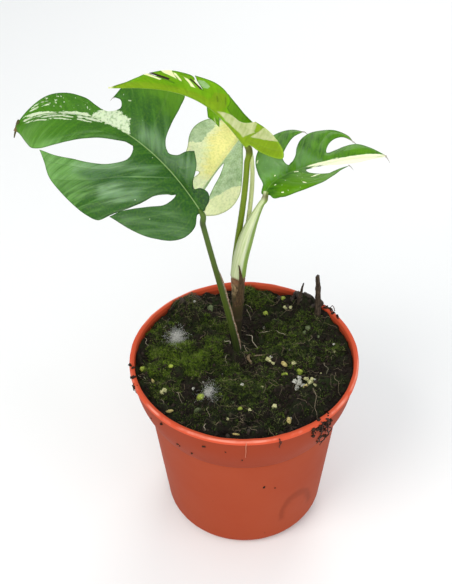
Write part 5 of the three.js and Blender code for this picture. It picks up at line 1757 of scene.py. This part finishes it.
def paint_leaf_b(blade):
    """Vivid yellow green with an olive keel, partly painted shade; cream at the slits and on the base lobes;
    a painted lit edge and sheen, painted shade along creases and painted shadow inside two slits.
    """
    p = BladePaint("fresh_blade_paint", blade)
    paint, x, y = p.paint, p.x, p.y
    brushed = p.streaks(9.0, 1.6, 0.8)
    near = y.step(-0.3, 0.3)
    rough = p.noise(2.0, 3.0) * 2.2
    # Olive keel, foot and square: the underside's colour, with painted shade where less light comes through
    keel = near * y.step(5.0, 2.4) * x.step(19, 23)
    foot = p.area([(16.5, -2), (14.8, 14), (12, 20), (-12, 22), (-12, -2)], rough * 0.6)
    square = p.area([(32.8, 9.5), (29.2, 11.8), (23.3, 5.4), (24.9, 1.8), (31, 2.1)], rough * 0.6) * 0.8
    olive = (keel * 0.8).high(foot).high(square) * near
    # Painted shade: dark lines along the creases of the olive square and the base lobe
    creases = [
        ((32, 9), (27, 4), 0.35), ((29.5, 11.4), (23.6, 5.2), 0.3), ((21, 2.2), (6, 3.2), 0.4),
        ((12, 18), (9, 12.4), 0.35),
    ]
    folds = p.strokes(creases, rough * 0.15)
    lit_edge = near * p.rim.step(1.1, 0.3) * x.step(8, 4)
    sheen = p.strokes([((42.4, 14.2), (34.4, 8.4), 1.3)], rough * 0.3) * 0.55
    green = paint.coats(
        blade.fresh,
        ((p.noise(12) * 2.5 + brushed * 2.0 + 0.4).clamped(), (0.2, 0.43, 0.003)),
        ((p.streaks(5.0, 0.7, 0.8) * 2.4 - 0.1).clamped() * 0.5, (0.06, 0.19, 0.002)),
        (olive, paint.mix((brushed * 2.4 + 0.35).clamped(), blade.olive, (0.24, 0.38, 0.008))),
        (folds * near * 0.6, (0.07, 0.12, 0.004)),
        (lit_edge * 0.8, (0.36, 0.56, 0.04)),
        (sheen * near, (0.42, 0.6, 0.36)),
    )
    cream = p.area([(24, 1.2), (15, 7.8), (12, 9.2), (6.4, 8.6), (5.6, 1.9), (18, 0.8)], rough * 0.4)
    cream = cream.high(p.area([(14.8, 7.2), (13.2, 11.6), (10.6, 12.8), (6.6, 8.0)], rough * 0.4))
    patch = p.area([(8.4, 17.4), (2.5, 19.4), (-2.0, 18.2), (1.4, 10), (4.6, 5.0)], rough * 0.5)
    slits = p.area([(60.2, 13.0), (53.0, 8.2), (53.6, 7.2), (61, 11.6)], rough * 0.2, 0.2)
    long_slit = [(57.4, 16.2), (51.0, 16.4), (46.6, 6.9), (48.4, 7.6), (52.6, 12.8)]
    slits = slits.high(p.area(long_slit, rough * 0.25, 0.2))
    slits = slits.high(p.area([(46.4, 12.6), (44.2, 11.4), (39.6, 6.6), (41.5, 6.7)], rough * 0.2, 0.2))
    edges = [((51, 16.4), (44.6, 6.4), 0.45), ((46.6, 13), (40, 5.8), 0.4), ((43.6, 14), (37, 6.4), 0.3)]
    slits = slits.high(p.strokes(edges, rough * 0.1))
    far_line = p.strokes([((21.6, -9.4), (15.4, -13.0), 0.5)], rough * 0.1)
    pale = cream.high(patch).high(slits) * near
    pale = pale.high(far_line * 0.7).high(x.step(71.5, 73.5) * 0.8)
    beige = paint.mix((brushed * 2.6 + p.noise(2) + 0.35).clamped(), (0.5, 0.53, 0.27), (0.34, 0.41, 0.13))
    warm = paint.mix(slits.high(x.step(71, 73)), beige, (0.84, 0.87, 0.46))
    # Painted shadow: near-black lenses in two slits, where the layers shade each other; given as the tip
    # mark
    dark = p.area([(59.4, 14.2), (50.2, 9.3), (50.4, 7.9), (59.2, 12.2)], 0.0, 0.15)
    dark = dark.high(p.area([(43.6, 12.6), (37.4, 7.8), (37.7, 6.9), (43.9, 11.7)], 0.0, 0.15)) * near
    return p.finish(green, pale, warm, 0.4, veins=0.04, rib=0.2, glow=0.2, tip=dark,
                    tip_and_shadow_colour=(0.03, 0.018, 0.01))


def paint_leaf_c(blade):
    """A pale underside: grey green above, warm yellow along the base, cream below and at the outer side."""
    p = BladePaint("cream_blade_paint", blade)
    paint, y = p.paint, p.y
    rough = p.noise(2.4, 3.0) * 3.0 + p.noise(0.7) * 1.2
    brushed = p.streaks(9.0, 1.8, 0.6)
    net = (p.noise(0.9, 3.0) * 1.5 + p.noise(4) * 2.2 + 0.35).clamped()
    grey_green = paint.mix(net, (0.6, 0.72, 0.46), (0.3, 0.43, 0.22))
    corners = [(-4, 9.0), (9, 9.2), (21.8, 8.0), (24.4, 12.6), (30, 13), (28, 25), (-10, 25)]
    grey_left = p.area(corners, rough)
    corners = [(-6, 10.5), (20, 10.5), (29, 7.2), (40, 3.4), (40, -4), (-6, -6)]
    warm = p.area(corners, rough * 1.6 + brushed * 8.0, 3.5)
    corners = [
        (30, -30), (36.5, -19.6), (39.2, -15.4), (43, -12.8), (51, -8.8), (57, -7.6), (70, -8), (66, -32),
    ]
    outer = p.area(corners, rough * 0.6)
    stains = (p.noise(1.4, 3.0) * 5.0 - 0.9).clamped() * 0.35
    left = paint.coats((0.93, 0.97, 0.62), (warm, (0.95, 0.88, 0.36)), (grey_left, grey_green))
    right = paint.mix(outer, grey_green, (0.9, 0.92, 0.56))
    both = paint.coats(right, (y.step(-2.8, -1.8), left), (stains, (0.5, 0.48, 0.22)))
    return p.finish(both, 0.0, (0.9, 0.9, 0.6), 0.5, veins=0.05, rib=0.1, glow=0.25)


def paint_leaf_d(blade):
    """Mid green with a long cream stripe below its midrib, a few white flecks, one painted glint, a painted
    sheen and dry curled tips.
    """
    p = BladePaint("mid_blade_paint", blade)
    paint, x, y = p.paint, p.x, p.y
    brushed = p.streaks(9.0, 1.8, 0.6)
    rough = p.noise(2.4, 3.0) * 2.4
    sheen = p.area([(3, 14), (3, 4), (13, 0.5), (19, 6), (12, 18)], rough * 1.5 + brushed * 9.0, 2.5)
    sheen = sheen.high(p.area([(22, 1.0), (34, 1.0), (27, 12), (21, 10)], brushed * 9.0, 2.0) * 0.8)
    green = paint.coats(
        (0.08, 0.24, 0.006),
        ((brushed * 2.6 + p.noise(9) * 1.6 + 0.3).clamped(), (0.02, 0.095, 0.005)),
        (y.step(-2, -9) * 0.75, (0.1, 0.26, 0.002)),
        (x.step(36, 58) * y.step(1, 4) * 0.7, (0.1, 0.28, 0.006)),
        ((p.streaks(5.0, 0.7, 0.6) * 2.4).clamped() * 0.5, (0.015, 0.07, 0.003)),
        (sheen * 0.62, (0.2, 0.38, 0.14)),
        ((brushed + 0.1).clamped() * x.near(24, 16) * y.near(-3, 4), (0.015, 0.07, 0.005)),
    )
    corners = [
        (25, 0.2), (41, 1.3), (60, 1.9), (71, 0.8), (71, -1), (56, -5.2), (45, -7), (34, -3), (27, -0.8),
    ]
    stripe = p.area(corners, rough * 0.35 + p.grain(6.0, 0.7) * 1.6)
    # Cream flecks, and one painted glint: the short stroke from (9.2, 1.8) to (10.6, 2.2)
    lines = [
        ((17.6, -1.2), (21.2, -2.8), 0.42), ((16.0, -13.0), (17.8, -16.0), 0.3),
        ((5.8, -2.4), (7.0, -3.4), 0.28), ((4.0, -8.2), (5.6, -10.6), 0.22),
        ((9.2, 1.8), (10.6, 2.2), 0.22), ((13.2, 12.6), (14.4, 14), 0.2), ((8.2, 12.8), (9.8, 15.0), 0.22),
        ((20, -12), (30, -9.5), 0.4), ((26, -1.6), (33, -3.6), 0.4),
    ]
    flecks = p.strokes(lines, p.noise(0.8) * 0.7)
    dotted = p.dots(2.6, 0.1) * y.step(-3, -7) * x.near(14, 12) * p.noise(3.0).step(0.0, 0.06)
    curled = p.rim.step(0.6, 0.1)
    tip = x.step(69.2, 70.8).high(curled * x.step(51, 56) * y.step(9, 12))
    tip = tip.high(curled * y.step(21, 24) * x.step(30, 34))
    cream = stripe.high(flecks).high(dotted)
    return p.finish(green, cream, (0.86, 0.9, 0.6), 0.36, veins=0.05, rib=0.15, glow=0.15, tip=tip * 0.8,
                    tip_and_shadow_colour=(0.3, 0.24, 0.2))


def paint_pot(pot):
    """Terracotta-coloured plastic: redder on the collar, painted light through the lip, faded patches, a
    smudge low on the right, scuffs with a painted highlight on the lip's crest, painted shade under the
    ledge, dirt specks and fine scratches."""
    paint = Paint("pot_paint")
    profile = PotProfile(pot)
    x, y, z = paint.millimetres()
    from_axis = x * x + y * y
    faded = (paint.noise(34, detail=3.0) * 1.6 + 0.4).clamped()
    on_lip = z.step(profile.lip - 0.5, profile.lip + 0.2)
    inner_half = from_axis.step((RIM_RADIUS - 1.0) ** 2, (RIM_RADIUS - 1.9) ** 2)
    # Scuffs on the lip's crest, pale pink by noise, which also make its painted highlight
    crest = z.step(POT_HEIGHT - 1.0, POT_HEIGHT - 0.4)
    crest = crest * from_axis.step((RIM_RADIUS - 1.3) ** 2, (RIM_RADIUS - 0.8) ** 2)
    scuffs_and_highlight = crest * (paint.noise(11, detail=4.0) * 5.0 + 0.3).clamped()
    arch_x, arch_z = (x - 28.0) / 8.0, (z - 20.0) / 18.5
    arch = (arch_x * arch_x + arch_z * arch_z - 1.0 + paint.noise(6) * 0.5).abs().step(0.6, 0.05)
    smudge = arch * z.step(16, 22) * y.step(-10, -20)
    base = paint.coats(
        pot.plastic,
        (faded * 0.5, (0.36, 0.075, 0.032)),
        (z.step(profile.ledge - 0.7, profile.ledge + 0.3) * 0.6, (0.25, 0.034, 0.012)),
    )
    # Painted shade: a greyer, darker band just under the ledge's step
    base = paint.tinted(base, (0.66, 0.6, 0.55), z.near(profile.ledge - 0.3, 1.0) * 0.6)
    specks = paint.cells(9.0).step(0.06, 0.03) * paint.noise(30).step(0.0, 0.12)
    dust = (paint.noise(1.3, detail=3.0) * 3.0 - 0.6).clamped() * 0.14
    base = paint.coats(
        base,
        # Painted light through the lip, weaker on its inner half
        (on_lip * 0.85, pot.plastic_edge),
        (on_lip * inner_half * 0.45, (0.36, 0.045, 0.014)),
        (scuffs_and_highlight * 0.6, (0.85, 0.34, 0.25)),
        (smudge * 0.6, (0.2, 0.03, 0.009)),
        (specks.high(dust), pot.dirt),
    )
    lines = paint.noise(1.0, paint.joined(x * 0.012, y * 0.012, z * 0.9), 2.0)
    scratches = (paint.noise(2.0, detail=5.0, roughness=0.7) * 0.5 + lines * 0.25 + 0.5).clamped()
    gloss = (paint.noise(16) * 0.2 + 0.6 + specks * 0.2).clamped()
    return paint.finish(base, gloss, scratches, bump_mm=0.12, bump_strength=0.35, shine=0.09)


def paint_soil(soil):
    """Peat: dry brown on the crumbs, nearly black and damp between them, with a green film in places."""
    paint = Paint("soil_paint")
    _, y, _ = paint.millimetres()
    lumpy = paint.noise(1.1, detail=4.0, roughness=0.65)
    film = (paint.noise(13) * 5.0 + paint.noise(3) * 2.0 + 0.3).clamped() * 0.8
    grit = paint.cells(1.6).step(0.2, 0.1) * (paint.noise(4) * 6.0 - 0.4).clamped()
    base = paint.coats(
        soil.damp,
        ((lumpy * 2.4 + 0.4).clamped(), soil.peat),
        (film, soil.algae),
        (grit * 0.5, (0.1, 0.08, 0.055)),
        # Darker towards the front
        (y.step(-18, -42) * 0.6, soil.damp),
    )
    gloss = (0.88 - lumpy * 0.3).clamped()
    return paint.finish(base, gloss, (lumpy + 0.5).clamped(), bump_mm=0.5, shine=0.15)


def paint_moss(moss):
    """Moss: dark at the foot, as old moss and as painted shade between the needles, fresh at the tip, some
    tufts yellow, some dull, some needles dry and pale.
    """
    paint = Paint("moss_paint")
    fresh, height, own = paint.split(paint.attribute("tint"))
    clumps = paint.noise(3.2, detail=3.0)
    tip = paint.coats(
        (0.036, 0.052, 0.014),
        ((fresh + clumps * 1.3).clamped(), moss.fresh),
        (own.step(0.68, 0.95) * 0.8, (0.27, 0.28, 0.1)),
        (own.step(0.5, 0.1) * 0.85, (0.01, 0.017, 0.005)),
    )
    patchy = paint.noise(2.0, detail=3.0) * 2.2 + paint.noise(6.5) * 2.0
    # Towards each needle's foot: old moss, and painted shade between the needles
    base = paint.mix((height * 1.2 + patchy * 1.3 - 0.1).clamped(), moss.old, tip)
    return paint.finish(base, 0.7, shine=0.2)


def paint_grains(name, light, dark):
    """A pitted, grainy material of a light colour, darker in its pits as painted shade, with a wider
    noise of its own tone.
    """
    paint = Paint(name)
    pits = paint.noise(0.5, detail=3.0)
    # Painted shade: dark where the pits sink the bump, mixed with a wider noise of the grain's own tone
    base = paint.mix((pits * 2.6 + paint.noise(1.6) * 1.6 + 0.3).clamped(), light, dark)
    return paint.finish(base, 0.65, (0.5 - pits).clamped(), bump_mm=0.35, shine=0.3)


def paint_tinted(name, dark, light, roughness, glow=0.0):
    """A grainy material between two colours, by each lump's own number."""
    paint = Paint(name)
    first, _, _ = paint.split(paint.attribute("tint"))
    grain = paint.noise(0.6, detail=3.0)
    base = paint.mix((first + grain * 0.7).clamped(), dark, light)
    return paint.finish(base, roughness, (grain + 0.5).clamped(), bump_mm=0.15, shine=0.15, glow=glow,
                        glow_radius=(0.5, 0.45, 0.35), glow_mm=0.8)


def paint_mould():
    """White threads that let light through, a little green in patches."""
    paint = Paint("mould_paint")
    grain = paint.noise(1.2, detail=3.0)
    base = paint.mix((grain * 2.0 + 0.4).clamped(), (0.84, 0.82, 0.77), (0.6, 0.61, 0.55))
    return paint.finish(base, 0.8, (grain + 0.5).clamped(), bump_mm=0.15, shine=0.2, glow=0.2,
                        glow_radius=(0.5, 0.45, 0.3), glow_mm=0.8)


def stalk_paint(name):
    """A stalk's paint with its share of the length and its angle, and noise drawn out lengthwise."""
    paint = Paint(name)
    share, angle, _ = paint.split(paint.attribute("stalk"))
    streaks = paint.noise(1.0, paint.joined(angle * 3.0, share * 9.0, 0.0), 3.0)
    return paint, share, angle, streaks


def paint_petiole_a(own):
    """Olive green, nearly black at its foot; its wing is dry and tan with a pale lavender edge."""
    paint, share, angle, streaks = stalk_paint("old_petiole_paint")
    winged = share.step(0.1, 0.16) * share.step(0.7, 0.64)
    specks = (paint.noise(0.8) * 3.5 + 0.25).clamped()
    dry = paint.mix(specks, (0.2, 0.13, 0.085), (0.45, 0.38, 0.34))
    base = paint.coats(
        (0.014, 0.02, 0.006),
        ((share.step(0.08, 0.5) + streaks * 0.5).clamped(), own.old_green),
        ((share.step(0.5, 1.0) * 0.6 + streaks * 0.6).clamped(), (0.08, 0.15, 0.02)),
        ((angle.near(0.06, 0.26) * winged * 1.5).clamped(), dry),
        (angle.near(0.06, 0.14) * winged * 0.7, (0.28, 0.17, 0.08)),
        (share.near(0.93, 0.045) * 0.6, (0.045, 0.06, 0.02)),
    )
    return paint.finish(base, 0.42, (streaks + 0.5).clamped(), bump_mm=0.12, shine=0.2, glow=0.08)


def paint_petiole(name, main, shaded_side, knee_colour, knee_at):
    """A younger stalk: one green with lengthwise streaks, painted shade down one side, and darker at its
    knee.
    """
    paint, share, angle, streaks = stalk_paint(name)
    base = paint.coats(
        main,
        ((streaks * 1.8 + 0.25).clamped(), shade(main, 0.72)),
        # Painted shade down the stalk's +X side
        (angle.near(0.0, 1.0) * 0.5, shaded_side),
        (share.near(knee_at, 0.05) * 0.7, knee_colour),
    )
    return paint.finish(base, 0.4, (streaks + 0.5).clamped(), bump_mm=0.1, shine=0.2, glow=0.12)


def paint_sheath(own):
    """Whitish green with ribs lengthwise, a green seam, a papery stripe, a dry foot and a brown knee."""
    paint, share, angle, streaks = stalk_paint("sheath_paint")
    ribs = paint.noise(1.0, paint.joined(angle * 6.0, share * 4.0, 0.0))
    seam = (angle + share * 0.45 + ribs * 0.5).step(-1.3, -1.05) * angle.step(0.95, 0.7)
    base = paint.coats(
        own.pale,
        ((ribs * 2.4 + 0.35).clamped(), (0.4, 0.52, 0.2)),
        (seam * 0.9, paint.mix((ribs * 3.0 + 0.5).clamped(), (0.1, 0.19, 0.008), (0.19, 0.31, 0.03))),
        (angle.near(-2.9, 0.45) * 0.6, (0.24, 0.33, 0.1)),
        (angle.near(-1.35, 0.35) * share.step(0.95, 0.7) * 0.5, (0.72, 0.74, 0.58)),
        (share.step(0.03, 0.0) * 0.9, (0.2, 0.12, 0.06)),
        (share.near(0.955, 0.045) * 0.75, (0.1, 0.07, 0.03)),
    )
    return paint.finish(base, 0.42, (streaks + 0.5).clamped(), bump_mm=0.1, shine=0.2, glow=0.15,
                        glow_radius=(0.5, 0.7, 0.3))


def paint_stem(own):
    """Brown dry skin with olive beneath, darker below and at the scars, papery at the top's left."""
    paint, share, angle, streaks = stalk_paint("stem_paint")
    lumpy = paint.noise(2.2, detail=4.0)
    papery = share.step(0.78, 0.9) * angle.step(-1.2, -1.7) * (lumpy * 4.0 + streaks * 2.0 + 0.6).clamped()
    base = paint.coats(
        own.bark,
        ((streaks * 2.2 + lumpy * 1.4 + 0.42).clamped(), (0.06, 0.055, 0.016)),
        ((lumpy * 3.0 - 0.35).clamped() * 0.8, (0.03, 0.02, 0.012)),
        (papery * 0.85, (0.42, 0.29, 0.15)),
        (share.step(0.93, 0.97) * 0.8, (0.17, 0.075, 0.035)),
        (share.step(0.86, 0.4) * 0.85, (0.014, 0.014, 0.006)),
        (share.near(0.52, 0.03).high(share.near(0.74, 0.026)) * 0.6, (0.05, 0.03, 0.018)),
    )
    return paint.finish(base, 0.62, (lumpy + streaks + 0.5).clamped(), bump_mm=0.3, shine=0.2)


def paint_bark(name, dark, light):
    """Dead wood: dark brown with paler lengthwise fibres."""
    paint, _, _, streaks = stalk_paint(name)
    lumpy = paint.noise(1.6, detail=4.0)
    base = paint.mix((streaks * 2.4 + lumpy + 0.35).clamped(), dark, light)
    return paint.finish(base, 0.85, (streaks + lumpy + 0.5).clamped(), bump_mm=0.35, shine=0.15)


def paint_floor():
    """A plain pale floor."""
    return Paint("floor_paint").finish((0.86, 0.86, 0.85), 0.65)


# Operators

# Leaves: piece, outline, seed, spacing of its mesh, height of its waves, material, slot and node
LEAVES = [
    ("blade_a", LEAF_A, 1, 0.75, 0.6, paint_leaf_a, "dark_blade", "leaf_a"),
    ("blade_b", LEAF_B, 4, 0.55, 0.3, paint_leaf_b, "fresh_blade", "leaf_b"),
    ("blade_c", LEAF_C, 7, 0.55, 0.3, paint_leaf_c, "cream_blade", "leaf_c"),
    ("blade_d", LEAF_D, 10, 0.6, 0.35, paint_leaf_d, "mid_blade", "leaf_d"),
]

# Lamps: name, place and size in metres, power in watts and colour
LAMPS = [
    ("key", (-0.75, -0.65, 1.1), 0.8, 10.0, (1.0, 0.97, 0.93)),
    ("front", (0.15, -1.15, 0.55), 1.0, 6.0, (1.0, 0.99, 0.97)),
    ("fill", (0.95, -0.5, 0.6), 1.0, 3.5, (0.95, 0.97, 1.0)),
    ("back", (0.3, 1.0, 0.9), 0.8, 5.0, (1.0, 0.98, 0.95)),
]
LIT_POINT = (0.0, 0.0, 0.13)
FLOOR_HALF = 3000.0
SENSOR_WIDTH = 36.0


def settings(name):
    """The scene's settings under that name."""
    return getattr(bpy.context.scene, name)


class MONSTERA_OT_pot(bpy.types.Operator):
    """Builds the nursery pot with its lip, ledge and drain holes"""

    bl_idname = "monstera.pot"
    bl_label = "Pot"

    def execute(self, context):
        pot = settings("monstera_pot")
        settle(make_pot(pot), paint_pot(pot), "terracotta_plastic", "pot")
        return {"FINISHED"}


class MONSTERA_OT_soil(bpy.types.Operator):
    """Builds the soil up to its crumbly surface"""

    bl_idname = "monstera.soil"
    bl_label = "Soil"

    def execute(self, context):
        soil = settings("monstera_soil")
        profile = PotProfile(settings("monstera_pot"))
        settle(make_soil(soil, profile), paint_soil(soil), "mossy_soil", "soil")
        return {"FINISHED"}


class MONSTERA_OT_litter(bpy.types.Operator):
    """Scatters crumbs, fibres, perlite and seed husks over the soil"""

    bl_idname = "monstera.litter"
    bl_label = "Litter"

    def execute(self, context):
        soil = settings("monstera_soil")
        draw = np.random.default_rng(61)
        count = 2600
        sizes = 0.22 + 0.75 * draw.uniform(0, 1, count) ** 2.6
        crumbs = make_pebbles("peat_crumbs", scattered(count, 60), sizes, soil, 62, 0.4, 1.3, 4, 5, 0.35)
        settle(crumbs, paint_tinted("crumb_paint", soil.damp, (0.03, 0.021, 0.015), 0.85), "mossy_soil")
        for name, table, seed, form, paint_name, light, dark in BITS:
            bits = make_pebbles(name, table[:, :2], table[:, 2], soil, seed, 0.25, *form)
            settle(bits, paint_grains(paint_name, light, dark), "mossy_soil")
        husk_paint = paint_grains("husk_paint", (0.55, 0.47, 0.18), (0.22, 0.16, 0.04))
        settle(make_husks("seed_husks", soil, 65), husk_paint, "mossy_soil")
        fibre_paint = paint_tinted("fibre_paint", (0.018, 0.012, 0.008), (0.3, 0.24, 0.15), 0.8)
        settle(make_fibres("peat_fibres", soil, 66), fibre_paint, "mossy_soil")
        return {"FINISHED"}


class MONSTERA_OT_moss(bpy.types.Operator):
    """Grows the moss in tufts, in three pieces, and the white mould"""

    bl_idname = "monstera.moss"
    bl_label = "Moss and mould"

    def execute(self, context):
        soil, moss = settings("monstera_soil"), settings("monstera_moss")
        material = paint_moss(moss)
        for name, seed in (("moss_near", 71), ("moss_far", 72), ("moss_low", 74)):
            settle(make_moss(name, soil, moss, seed), material, "mossy_soil")
        settle(make_mould(soil, 73), paint_mould(), "mossy_soil")
        return {"FINISHED"}


class MONSTERA_OT_roots(bpy.types.Operator):
    """Adds the pale roots round the stem and the debris spilt over the rim"""

    bl_idname = "monstera.roots"
    bl_label = "Roots and debris"

    def execute(self, context):
        soil = settings("monstera_soil")
        profile = PotProfile(settings("monstera_pot"))
        root_paint = paint_tinted("root_paint", (0.5, 0.44, 0.33), (0.11, 0.07, 0.03), 0.55, 0.1)
        settle(make_roots(soil, 81), root_paint, "mossy_soil")
        debris_paint = paint_tinted("debris_paint", (0.012, 0.008, 0.006), (0.05, 0.025, 0.015), 0.9)
        settle(make_rim_debris(profile, 82), debris_paint, "mossy_soil")
        rim_root_paint = paint_tinted("rim_root_paint", (0.55, 0.2, 0.12), (0.03, 0.016, 0.012), 0.7)
        settle(make_rim_roots(profile, 84), rim_root_paint, "mossy_soil")
        return {"FINISHED"}


class MONSTERA_OT_stalks(bpy.types.Operator):
    """Builds the stem with its stipule, the four leaf stalks and the sheath"""

    bl_idname = "monstera.stalks"
    bl_label = "Stem and stalks"

    def execute(self, context):
        own = settings("monstera_stalk")
        settle(make_stem(own), paint_stem(own), "old_stem", "stem")
        stipule_paint = paint_bark("stipule_paint", (0.04, 0.024, 0.014), (0.12, 0.075, 0.03))
        settle(make_stipule(own), stipule_paint, "old_stem", "stem")
        settle(make_petiole_a(own), paint_petiole_a(own), "old_petiole", "petiole_a")
        # Main green, colour of the painted shaded side, knee colour
        greens = (own.young_green, (0.06, 0.09, 0.006), (0.06, 0.05, 0.012))
        young = paint_petiole("young_petiole_paint", *greens, 0.95)
        petiole_b = make_thin_petiole("petiole_b_body", PETIOLE_B_ROUTE, 1.62, own, 43)
        settle(petiole_b, young, "young_petiole", "petiole_b")
        # Main green, colour of the painted shaded side, knee colour
        greens = ((0.52, 0.58, 0.25), (0.2, 0.3, 0.05), (0.2, 0.22, 0.06))
        pale = paint_petiole("pale_petiole_paint", *greens, 0.97)
        petiole_c = make_thin_petiole("petiole_c_body", PETIOLE_C_ROUTE, 1.2, own, 44)
        settle(petiole_c, pale, "pale_petiole", "petiole_c")
        settle(make_sheath(), paint_sheath(own), "pale_petiole", "petiole_d")
        return {"FINISHED"}


class MONSTERA_OT_leaves(bpy.types.Operator):
    """Builds the four leaf blades with their splits, ribs and cream markings"""

    bl_idname = "monstera.leaves"
    bl_label = "Leaves"

    def execute(self, context):
        blade = settings("monstera_blade")
        for name, leaf, seed, spacing_share, wave, painted, slot, node in LEAVES:
            piece = make_blade(name, leaf, blade, seed, spacing_share, wave)
            settle(piece, painted(blade), slot, node)
        tip_paint = paint_tinted("dry_tip_paint", (0.075, 0.07, 0.02), (0.42, 0.38, 0.33), 0.6)
        settle(make_dry_tips(), tip_paint, "dark_blade")
        return {"FINISHED"}


class MONSTERA_OT_wood(bpy.types.Operator):
    """Builds the dead twig and the splinter of bark"""

    bl_idname = "monstera.wood"
    bl_label = "Dead wood"

    def execute(self, context):
        own = settings("monstera_stalk")
        bark = paint_bark("bark_paint", (0.02, 0.014, 0.01), (0.1, 0.07, 0.045))
        settle(make_wood("twig_body", TWIG_ROUTE, 2.1, 1.15, own, 91), bark, "dead_wood", "twig")
        splinter = make_wood("splinter_body", SPLINTER_ROUTE, 2.1, 0.35, own, 94)
        settle(splinter, bark, "dead_wood", "bark_splinter")
        return {"FINISHED"}


class MONSTERA_OT_stage(bpy.types.Operator):
    """Adds the pale floor, the soft studio light and the camera"""

    bl_idname = "monstera.stage"
    bl_label = "Stage"

    def execute(self, context):
        stage = settings("monstera_stage")
        corners = np.array([[-1, -1, 0], [1, -1, 0], [1, 1, 0], [-1, 1, 0]]) * FLOOR_HALF
        floor = build_mesh("floor", corners, [[0, 1, 2, 3]], smooth=False)
        floor.data.materials.append(paint_floor())
        world = bpy.data.worlds.new("studio")
        world.use_nodes = True
        background = world.node_tree.nodes["Background"]
        background.inputs["Color"].default_value = (0.9, 0.95, 1.0, 1.0)
        background.inputs["Strength"].default_value = 0.62
        scene = bpy.context.scene
        scene.world = world
        for name, place, size, power, tone in LAMPS:
            light = bpy.data.lights.new(name, "AREA")
            light.shape = "DISK"
            light.size = size
            light.energy = power
            light.color = tone
            lamp = bpy.data.objects.new(name, light)
            lamp.location = place
            x, y, z = np.array(LIT_POINT) - np.array(place)
            lamp.rotation_euler = (math.atan2(math.hypot(x, y), -z), 0, math.atan2(y, x) - math.pi / 2)
            scene.collection.objects.link(lamp)
        camera = bpy.data.cameras.new("photo_view")
        camera.sensor_width = SENSOR_WIDTH
        camera.lens = stage.focal_pixels * SENSOR_WIDTH / PHOTO_HEIGHT
        camera.shift_x = -stage.centre_shift / PHOTO_HEIGHT
        camera.clip_start = 0.01
        eye = bpy.data.objects.new("photo_view", camera)
        eye.location = (0.0, -stage.camera_back * MM, stage.camera_height * MM)
        eye.rotation_euler = (math.pi / 2 - stage.pitch, 0.0, 0.0)
        scene.collection.objects.link(eye)
        scene.camera = eye
        scene.view_settings.view_transform = "Standard"
        return {"FINISHED"}


OPERATORS = [
    MONSTERA_OT_pot,
    MONSTERA_OT_soil,
    MONSTERA_OT_litter,
    MONSTERA_OT_moss,
    MONSTERA_OT_roots,
    MONSTERA_OT_stalks,
    MONSTERA_OT_leaves,
    MONSTERA_OT_wood,
    MONSTERA_OT_stage,
]


class MONSTERA_PT_panel(bpy.types.Panel):
    """Lists the plant's builders"""

    bl_label = "Monstera"
    bl_idname = "MONSTERA_PT_panel"
    bl_space_type = "VIEW_3D"
    bl_region_type = "UI"
    bl_category = "Monstera"

    def draw(self, context):
        for operator in OPERATORS:
            self.layout.operator(operator.bl_idname)


def register():
    for kind in (*SETTINGS.values(), *OPERATORS, MONSTERA_PT_panel):
        bpy.utils.register_class(kind)
    for name, kind in SETTINGS.items():
        setattr(bpy.types.Scene, name, bpy.props.PointerProperty(type=kind))


def unregister():
    for name in SETTINGS:
        delattr(bpy.types.Scene, name)
    for kind in (MONSTERA_PT_panel, *reversed(OPERATORS), *SETTINGS.values()):
        bpy.utils.unregister_class(kind)


def main():
    register()
    for operator in OPERATORS:
        _, name = operator.bl_idname.split(".")
        getattr(bpy.ops.monstera, name)()
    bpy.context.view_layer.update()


if __name__ == "__main__":
    main()
